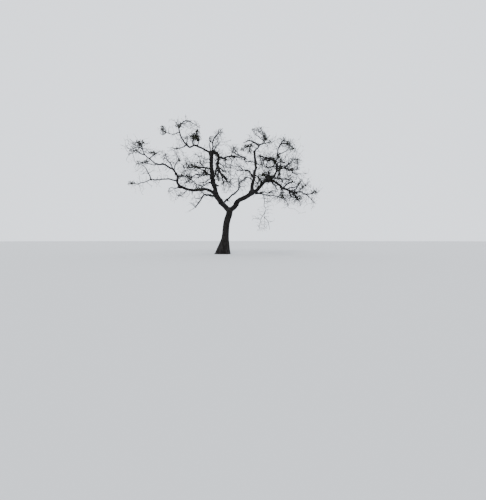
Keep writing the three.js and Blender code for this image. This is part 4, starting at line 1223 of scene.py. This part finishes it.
# Twigs and leaves in pieces from left to right, each standing for the masses there.
PARTS = [("far_left", -9.0, -1.9), ("mid_left", -1.9, 0.15), ("mid_right", 0.15, 1.75), ("far_right", 1.75, 9.0)]
for part, x0, x1 in PARTS:
    there = (spots[:n, 0] >= x0) & (spots[:n, 0] < x1)
    here = [m for m, (middle, _, _) in masses.items() if x0 <= middle[0] < x1]
    c, q, t = some(corners, quads[there[piece_of]], caps[there[cap_of]])
    piece = make_mesh(part + "_twigs", c, q, t, TWIG)
    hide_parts(*here)
    print(piece.name, len(q) * 2 + len(t))
for part, x0, x1 in (("left", -9.0, 0.15), ("right", 0.15, 9.0)):
    here = [m for m, (middle, _, _) in masses.items() if x0 <= middle[0] < x1]
    for k, (kind, finish) in enumerate(LEAVES):
        chosen = (leaf_kind == k) & (leaf_base[:, 0] >= x0) & (leaf_base[:, 0] < x1)
        c = leaf_corners[chosen].reshape(-1, 3)
        t = (LEAF_FACES[None] + len(LEAF) * np.arange(chosen.sum())[:, None, None]).reshape(-1, 3)
        piece = make_mesh("%s_%s_leaves" % (part, kind), c, np.zeros((0, 4), int), t, finish, smooth=False)
        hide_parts(*here)
        print(piece.name, len(t))

# ---------- floor, light and camera ----------

bpy.ops.mesh.primitive_circle_add(vertices=96, radius=160, fill_type="NGON", location=(0, 0, 0))
floor = bpy.context.object
floor.name = "floor"
floor.data.materials.append(plain("floor", (0.70, 0.71, 0.72)))

world = bpy.data.worlds.new("world")
bpy.context.scene.world = world
world.use_nodes = True
world.node_tree.nodes["Background"].inputs["Color"].default_value = (0.77, 0.81, 0.87, 1)
# the light is strongest from behind the tree, which stands dark against it
toward = world.node_tree.nodes.new("ShaderNodeTexCoord")
parts = world.node_tree.nodes.new("ShaderNodeSeparateXYZ")
strength = world.node_tree.nodes.new("ShaderNodeMapRange")
strength.interpolation_type = "SMOOTHSTEP"
for socket, value in (("From Min", -1.0), ("From Max", 1.0), ("To Min", 0.95), ("To Max", 2.15)):
    strength.inputs[socket].default_value = value
world.node_tree.links.new(toward.outputs["Generated"], parts.inputs["Vector"])
world.node_tree.links.new(parts.outputs["Y"], strength.inputs["Value"])
world.node_tree.links.new(strength.outputs["Result"], world.node_tree.nodes["Background"].inputs["Strength"])

sun = bpy.data.lights.new("sun", "SUN")
sun.energy, sun.angle = 1.6, math.radians(14)
sun_at = bpy.data.objects.new("sun", sun)
sun_at.rotation_euler = (math.radians(38), math.radians(-24), math.radians(20))
bpy.context.scene.collection.objects.link(sun_at)

eye = bpy.data.cameras.new("camera")
eye.sensor_fit, eye.sensor_width, eye.lens = "HORIZONTAL", 36, 36 * 300 / 486
eye.clip_start, eye.clip_end = 0.1, 500
camera = bpy.data.objects.new("camera", eye)
camera.location = (0.736, -12.4, 0.58)
camera.rotation_euler = (math.radians(90) - math.atan2(10, 300), 0, 0)
bpy.context.scene.collection.objects.link(camera)
bpy.context.scene.camera = camera

bpy.context.view_layer.update()
